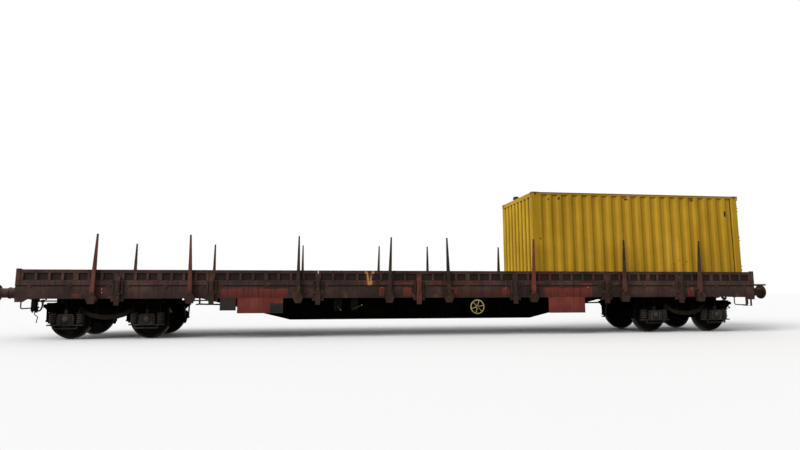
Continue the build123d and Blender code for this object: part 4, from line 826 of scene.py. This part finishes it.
def makeEnds():
    bolts = bmesh.new()
    gear = bmesh.new()
    for end in hands:
        out = (end, 0.0, 0.0)
        for across in hands:
            for dy, dz in pairs:
                addBolt(bolts, (end * endSet["plateX"], across * wagon["bufferY"] + dy * endSet["boltAt"],
                    wagon["bufferZ"] + dz * 0.115), out, 0.018)
            for dz in (-0.085, 0.0, 0.085):
                addBolt(bolts, (end * endSet["hookX"], across * 0.13, wagon["bufferZ"] + dz), out, 0.016)
            y = across * endSet["lampY"]
            addBlock(gear, (end * 9.328, y - 0.03, endSet["lampLow"]), (end * 9.34, y + 0.03, 1.225), 0.003)
            addBlock(gear, (end * 9.338, y - 0.03, 1.212), (end * 9.372, y + 0.03, 1.222), 0.003)
            addBlock(gear, (end * 9.364, y - 0.026, 1.15), (end * 9.374, y + 0.026, 1.222), 0.003)
            for z in (endSet["lampLow"] + 0.02, endSet["lampLow"] + 0.06):
                addBolt(bolts, (end * 9.34, y, z), out, 0.009)
        x = end * endSet["linkX"]
        step = (endSet["screwHigh"] - endSet["screwLow"]) / (2 * endSet["threadCount"])
        profile = [(0.0, 0.0)]
        for i in range(2 * endSet["threadCount"] + 1):
            profile.append((i * step, endSet["threadRadius"] if i % 2 else 0.0195))
        profile.append((2 * endSet["threadCount"] * step, 0.0))
        addTurned(gear, profile, (x, 0.0, endSet["screwLow"]), (0.0, 0.0, 1.0), 16)
        addTurned(gear, [(0.0, 0.0), (0.0, 0.034), (0.036, 0.034), (0.036, 0.0)], (x, 0.0, 0.79),
            (0.0, 0.0, 1.0), 20)
        addRod(gear, (x, 0.0, 0.808), (x + end * 0.02, -0.15, 0.63), 0.0095, sides=12)
        bmesh.ops.create_icosphere(gear, subdivisions=2, radius=0.027,
            matrix=Matrix.Translation((x + end * 0.02, -0.152, 0.628)))
        for across in hands:
            for z in (0.728, 0.898):
                addBolt(gear, (x, across * 0.076, z), (0.0, across, 0.0), 0.019)
    makePiece("endBolts", bolts, boltPaint, smooth=0)
    makePiece("couplingScrews", gear, boltPaint)


makeEnds()
print("ends detailed")

# Brake gear under the floor: main pipe, pull rods with levers, straps round the tank, lids of the relays,
# and over each bogie the channels that carry it, which hang lower where they clear the transom and are
# near-black steel that stands in for shade in the gap under the solebar
gearSet = {"z": 0.888, "y": 0.3, "inner": 0.268, "radius": 0.017, "tankZ": 0.728, "straps": (-2.12, -1.18),
    "reach": (6.12, 8.78), "lowReach": ((6.12, 7.1), (7.76, 8.78)), "hangers": (6.2, 6.8, 8.1, 8.66),
    "face": 0.5, "web": 0.508, "flange": 0.532, "hangerY": (0.485, 0.501),
    "channelZ": (0.838, 0.846, 0.873, 0.875, 0.972), "hangerZ": (0.9, 1.014), "lidY": 1.344,
    "lidBoltX": (8.884, 8.961), "lidBoltZ": (0.72, 0.91)}


def makeUnderGear():
    z, y, inner, tankZ = gearSet["z"], gearSet["y"], gearSet["inner"], gearSet["tankZ"]
    makePipe("brakePipe", [(9.17, y, z), (8.9, y, z), (8.6, inner, z), (5.0, inner, z), (0.42, inner, z),
        (0.05, inner, z), (-0.45, -inner, z), (-0.8, -inner, z), (-5.0, -inner, z), (-8.6, -inner, z),
        (-8.9, -y, z), (-9.17, -y, z)], gearSet["radius"], girderPaint)
    makePipe("tankPipe", [(-0.75, -inner, z), (-0.72, -0.2, z), (-0.7, -0.05, 0.82), (-0.85, 0.0, 0.76),
        (-0.92, 0.0, 0.74)], 0.011, girderPaint)
    shape = bmesh.new()
    for x in gearSet["straps"]:
        for at in (-0.02, 0.02):
            addTurned(shape, [(at - 0.014, 0.188), (at - 0.014, 0.197), (at + 0.014, 0.197),
                (at + 0.014, 0.188), (at - 0.014, 0.188)], (x, 0.0, tankZ), (1.0, 0.0, 0.0), 40)
    addRod(shape, (2.3, 0.0, tankZ), (5.55, 0.0, 0.79), 0.019)
    addRod(shape, (-2.75, 0.0, tankZ), (-5.55, 0.0, 0.79), 0.019)
    addRod(shape, (3.2, 0.0, 0.745), (4.1, 0.0, 0.762), 0.034)
    for end in hands:
        addBlock(shape, (end * 5.53, -0.32, 0.775), (end * 5.59, 0.32, 0.805), 0.01, 2)
        addBlock(shape, (end * 5.54, -0.02, 0.8), (end * 5.58, 0.02, 1.02), 0.004)
    addBlock(shape, (-2.79, -0.32, 0.71), (-2.73, 0.32, 0.74), 0.01, 2)
    addBlock(shape, (-2.78, -0.018, 0.73), (-2.74, 0.018, 1.0), 0.004)
    # The channels close the gap under the solebar over each bogie with near-black steel in place of shade
    base, flangeTop, foot, lap, top = gearSet["channelZ"]
    for end, across in pairs:
        face, web, flange = [across * gearSet[key] for key in ("face", "web", "flange")]
        left, right = [end * x for x in gearSet["reach"]]
        addBlock(shape, (left, face, foot), (right, web, top), 0.002)
        for start, stop in gearSet["lowReach"]:
            addBlock(shape, (end * start, face, base), (end * stop, web, lap), 0.002)
            addBlock(shape, (end * start, face, base), (end * stop, flange, flangeTop), 0.002)
        inside, outside = [across * place for place in gearSet["hangerY"]]
        for x in gearSet["hangers"]:
            addBlock(shape, (end * x - 0.02, inside, gearSet["hangerZ"][0]),
                (end * x + 0.02, outside, gearSet["hangerZ"][1]), 0.002)
    for turn in hands:
        addBlock(shape, (turn * 8.965, turn * gearSet["lidY"], 0.7), (turn * 8.88, turn * 1.335, 0.93),
            0.004)
        for x in gearSet["lidBoltX"]:
            for boltZ in gearSet["lidBoltZ"]:
                addBolt(shape, (turn * x, turn * gearSet["lidY"], boltZ), (0.0, turn, 0.0), 0.007)
    makePiece("brakeRods", shape, girderPaint)


makeUnderGear()

# Levers of the change-over plates, in pale enamel
leverSet = {"levers": ((-2.016, 0.069, -0.088), (-1.64, 0.21, 0.095)), "pivotZ": 0.748, "y": 1.3625}


def makeLevers():
    shape = bmesh.new()
    for middle, along, rise in leverSet["levers"]:
        foot = leverSet["pivotZ"] if rise < 0 else leverSet["pivotZ"] - 0.06
        addRod(shape, (middle, -1.33, foot), (middle, -leverSet["y"] - 0.006, foot), 0.02)
        addRod(shape, (middle, -leverSet["y"], foot), (middle + along, -leverSet["y"], foot + rise), 0.0085)
        bmesh.ops.create_icosphere(shape, subdivisions=2, radius=0.014,
            matrix=Matrix.Translation((middle + along, -leverSet["y"], foot + rise)))
    makePiece("changeLevers", shape, handwheelPaint)


makeLevers()
print("under gear made")

# Notice boards: bolts at the corners and a small blank plate
boardSet = {"boards": ((-4.813, -4.444, 0.666), (-4.411, -3.339, 0.598), (3.406, 4.394, 0.558)), "y": 1.364}


def makeBoardDetail():
    bolts = bmesh.new()
    plates = bmesh.new()
    for across in hands:
        for left, right, low in boardSet["boards"]:
            x0, x1 = (left, right) if across < 0 else (-right, -left)
            for x in (x0 + 0.03, x1 - 0.03):
                for z in (low + 0.03, 0.93):
                    addBolt(bolts, (x, across * boardSet["y"], z), (0.0, across, 0.0), 0.008)
        x0, x1 = (-3.63, -3.36) if across < 0 else (3.36, 3.63)
        addBlock(plates, (x0, across * 1.3635, 0.62), (x1, across * 1.3665, 0.8), 0.001)
    makePiece("boardBolts", bolts, boltPaint, smooth=0)
    makePiece("boardPlates", plates, ventPaint)


makeBoardDetail()

# Container doors: handles, cams and keepers on each lock rod, seals round the leaf
doorSet = {"face": 9.104, "rodX": 9.124, "rods": (0.969, 0.319), "low": 1.486, "high": 3.628, "edge": 1.157,
    "handleZ": 2.42, "handleLong": 0.3, "seal": 0.014}


def makeDoorGear(side, across):
    body = f"door_{side}_body"
    gear = bmesh.new()
    seal = bmesh.new()
    face, rodX = doorSet["face"], doorSet["rodX"]
    low, high = doorSet["low"], doorSet["high"]
    for number, place in enumerate(doorSet["rods"]):
        y = across * place
        way = -across if number == 0 else across
        for z in (low + 0.005, high - 0.005):
            addBlock(gear, (face, y - 0.032, z - 0.03), (face + 0.036, y + 0.032, z + 0.03), 0.006, 2)
            addRod(gear, (rodX, y, z - 0.045), (rodX, y, z + 0.045), 0.019)
        reach = y + way * doorSet["handleLong"]
        addBlock(gear, (rodX - 0.004, y, doorSet["handleZ"] - 0.012),
            (rodX + 0.006, reach, doorSet["handleZ"] + 0.012), 0.004, 2)
        addRod(gear, (rodX, y, doorSet["handleZ"] - 0.05), (rodX, y, doorSet["handleZ"] + 0.05), 0.021)
        keeper = y + way * (doorSet["handleLong"] - 0.07)
        addBlock(gear, (face, keeper - 0.035, doorSet["handleZ"] - 0.035),
            (face + 0.014, keeper + 0.035, doorSet["handleZ"] + 0.035), 0.003)
        addBlock(gear, (face + 0.012, keeper - 0.012, doorSet["handleZ"] - 0.03),
            (face + 0.034, keeper + 0.012, doorSet["handleZ"] - 0.014), 0.003)
        for share in (0.03, 0.35, 0.65, 0.97):
            z = low + share * (high - low)
            for dy in (-0.022, 0.022):
                addBolt(gear, (face + 0.037, y + dy, z), (1.0, 0.0, 0.0), 0.006)
    inner, outer = across * 0.008, across * (doorSet["edge"] - 0.003)
    width = doorSet["seal"]
    for a, b in ((inner, inner + across * width), (outer - across * width, outer)):
        addBlock(seal, (face - 0.002, a, low + 0.004), (face + 0.004, b, high - 0.004), 0.002)
    for a, b in ((low + 0.004, low + 0.004 + width), (high - 0.004 - width, high - 0.004)):
        addBlock(seal, (face - 0.002, inner, a), (face + 0.004, outer, b), 0.002)
    makePiece(f"doorGear_{side}", gear, plateSteel, body)
    makePiece(f"doorSeal_{side}", seal, rubber, body)


makeDoorGear("near", -1)
makeDoorGear("far", 1)

# Hooded air vent high on each side wall, near the doors
wallVentSet = {"left": 8.702, "right": 8.748, "low": 3.18, "high": 3.32, "wall": 1.212, "out": 1.226}


def makeWallVents():
    shape = bmesh.new()
    for across in hands:
        addBlock(shape, (wallVentSet["left"], across * wallVentSet["wall"], wallVentSet["low"]),
            (wallVentSet["right"], across * wallVentSet["out"], wallVentSet["high"]), 0.005, 2)
        for i in range(5):
            z = wallVentSet["low"] + 0.02 + i * 0.024
            addBlock(shape, (wallVentSet["left"] + 0.007, across * (wallVentSet["out"] - 0.002), z),
                (wallVentSet["right"] - 0.007, across * (wallVentSet["out"] + 0.003), z + 0.006), 0.001)
    makePiece("wallVents", shape, ventPaint)


makeWallVents()

# Vent cowl turned with a flange, a waist and a rolled lip
ventSet = {"x": 3.206, "y": 0.3, "base": 3.744, "profile": ((0.0, 0.0), (0.0, 0.075), (0.006, 0.075),
    (0.008, 0.05), (0.036, 0.048), (0.042, 0.07), (0.038, 0.082), (0.044, 0.0845), (0.056, 0.084),
    (0.096, 0.083), (0.112, 0.078), (0.124, 0.062), (0.131, 0.034), (0.1338, 0.0))}


def makeVent():
    shape = bmesh.new()
    addTurned(shape, ventSet["profile"], (ventSet["x"], ventSet["y"], ventSet["base"]), (0.0, 0.0, 1.0), 36)
    for i in range(6):
        turn = 2 * math.pi * i / 6
        addBolt(shape, (ventSet["x"] + 0.062 * math.cos(turn), ventSet["y"] + 0.062 * math.sin(turn),
            ventSet["base"] + 0.006), (0.0, 0.0, 1.0), 0.006)
    cowl = makePiece("ventCowl", shape, ventPaint)
    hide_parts("roof_vent")


makeVent()

# Lashing rings inside the container, along both bottom rails
ringSet = {"count": 6, "y": 1.15, "z": 1.53, "radius": 0.028, "wire": 0.006}


def makeRings():
    shape = bmesh.new()
    for i in range(ringSet["count"]):
        x = wagon["boxLeft"] + 0.5 + i * 1.0
        for across in hands:
            spot = (x, across * ringSet["y"], ringSet["z"])
            top = Matrix.Translation((spot[0], spot[1], spot[2] + ringSet["radius"]))
            circle = bmesh.ops.create_circle(shape, segments=6, radius=ringSet["wire"],
                matrix=top @ Matrix.Rotation(math.pi / 2, 4, "X"))
            edges = list({edge for vert in circle["verts"] for edge in vert.link_edges})
            bmesh.ops.spin(shape, geom=circle["verts"] + edges, cent=spot, axis=(0.0, 1.0, 0.0),
                angle=2 * math.pi, steps=16, use_merge=True)
            addBlock(shape, (x - 0.012, across * 1.14, ringSet["z"] + 0.012),
                (x + 0.012, across * 1.18, ringSet["z"] + 0.036), 0.003)
    makePiece("lashingRings", shape, plateSteel)


makeRings()

# White tie marks on the solebar and beside the first post, one pair on each side of the wagon
dotSet = {"spots": ((-0.929, 1.205), (0.859, 1.195), (2.259, 1.195), (4.505, 1.215), (7.461, 1.19),
    (-7.475, 1.177), (-7.47, 1.095)), "radius": 0.013}


def makeDots():
    shape = bmesh.new()
    for across in hands:
        for x, z in dotSet["spots"]:
            addRivet(shape, (-across * x, across * wagon["solebarY"], z), (0.0, across, 0.0),
                dotSet["radius"], 0.004)
    makePiece("tieMarks", shape, dotPaint, smooth=0)


makeDots()

# Handwheels: nut on the hub
nutSet = {"x": 1.49, "y": 1.427, "z": 0.723, "radius": 0.02}


def makeWheelNuts():
    shape = bmesh.new()
    for across in hands:
        addBolt(shape, (-across * nutSet["x"], across * nutSet["y"], nutSet["z"]), (0.0, across, 0.0),
            nutSet["radius"])
    makePiece("handwheelNuts", shape, boltPaint, smooth=0)


makeWheelNuts()
print("container and small gear made")

# Pale floor under the wheels: it is pale to the eye and grey to the light it throws back
stageSet = {"floor": 0.8, "floorReach": 150.0, "bounce": 0.16, "world": 0.62, "sun": 3.0, "sunSize": 38,
    "sunFrom": (-0.8, -0.46, 0.66)}


# One level for the rays that carry light, and another for those that are seen
def seenLevel(tree, carried, seen):
    path = addNode(tree, "LightPath")
    direct = addNode(tree, "Math", [path, path.outputs["Is Glossy Ray"]], "MAXIMUM")
    through = addNode(tree, "Math", [direct, path.outputs["Is Transmission Ray"]], "MAXIMUM")
    return addNode(tree, "MapRange", {"Value": through, "To Min": carried, "To Max": seen})


def makeStage():
    mesh = bpy.data.meshes.new("floor")
    shape = bmesh.new()
    bmesh.ops.create_grid(shape, x_segments=1, y_segments=1, size=stageSet["floorReach"])
    shape.to_mesh(mesh)
    shape.free()
    floor = bpy.data.objects.new("floor", mesh)
    bpy.context.scene.collection.objects.link(floor)
    paint = bpy.data.materials.new("pale_studio_floor")
    paint.use_nodes = True
    tree = paint.node_tree
    grey = seenLevel(tree, stageSet["bounce"], stageSet["floor"])
    setInputs(tree, tree.nodes["Principled BSDF"], {"Base Color": grey, "Roughness": 0.9})
    mesh.materials.append(paint)

    world = bpy.data.worlds.new("world")
    world.use_nodes = True
    tree = world.node_tree
    level = seenLevel(tree, stageSet["world"], 1.0)
    setInputs(tree, tree.nodes["Background"], {"Color": "#ffffff", "Strength": level})
    bpy.context.scene.world = world

    sun = bpy.data.lights.new("sun", "SUN")
    sun.energy = stageSet["sun"]
    sun.angle = math.radians(stageSet["sunSize"])
    lamp = bpy.data.objects.new("sun", sun)
    lamp.rotation_euler = Vector(stageSet["sunFrom"]).to_track_quat("Z", "Y").to_euler()
    bpy.context.scene.collection.objects.link(lamp)


makeStage()
print("stage set")
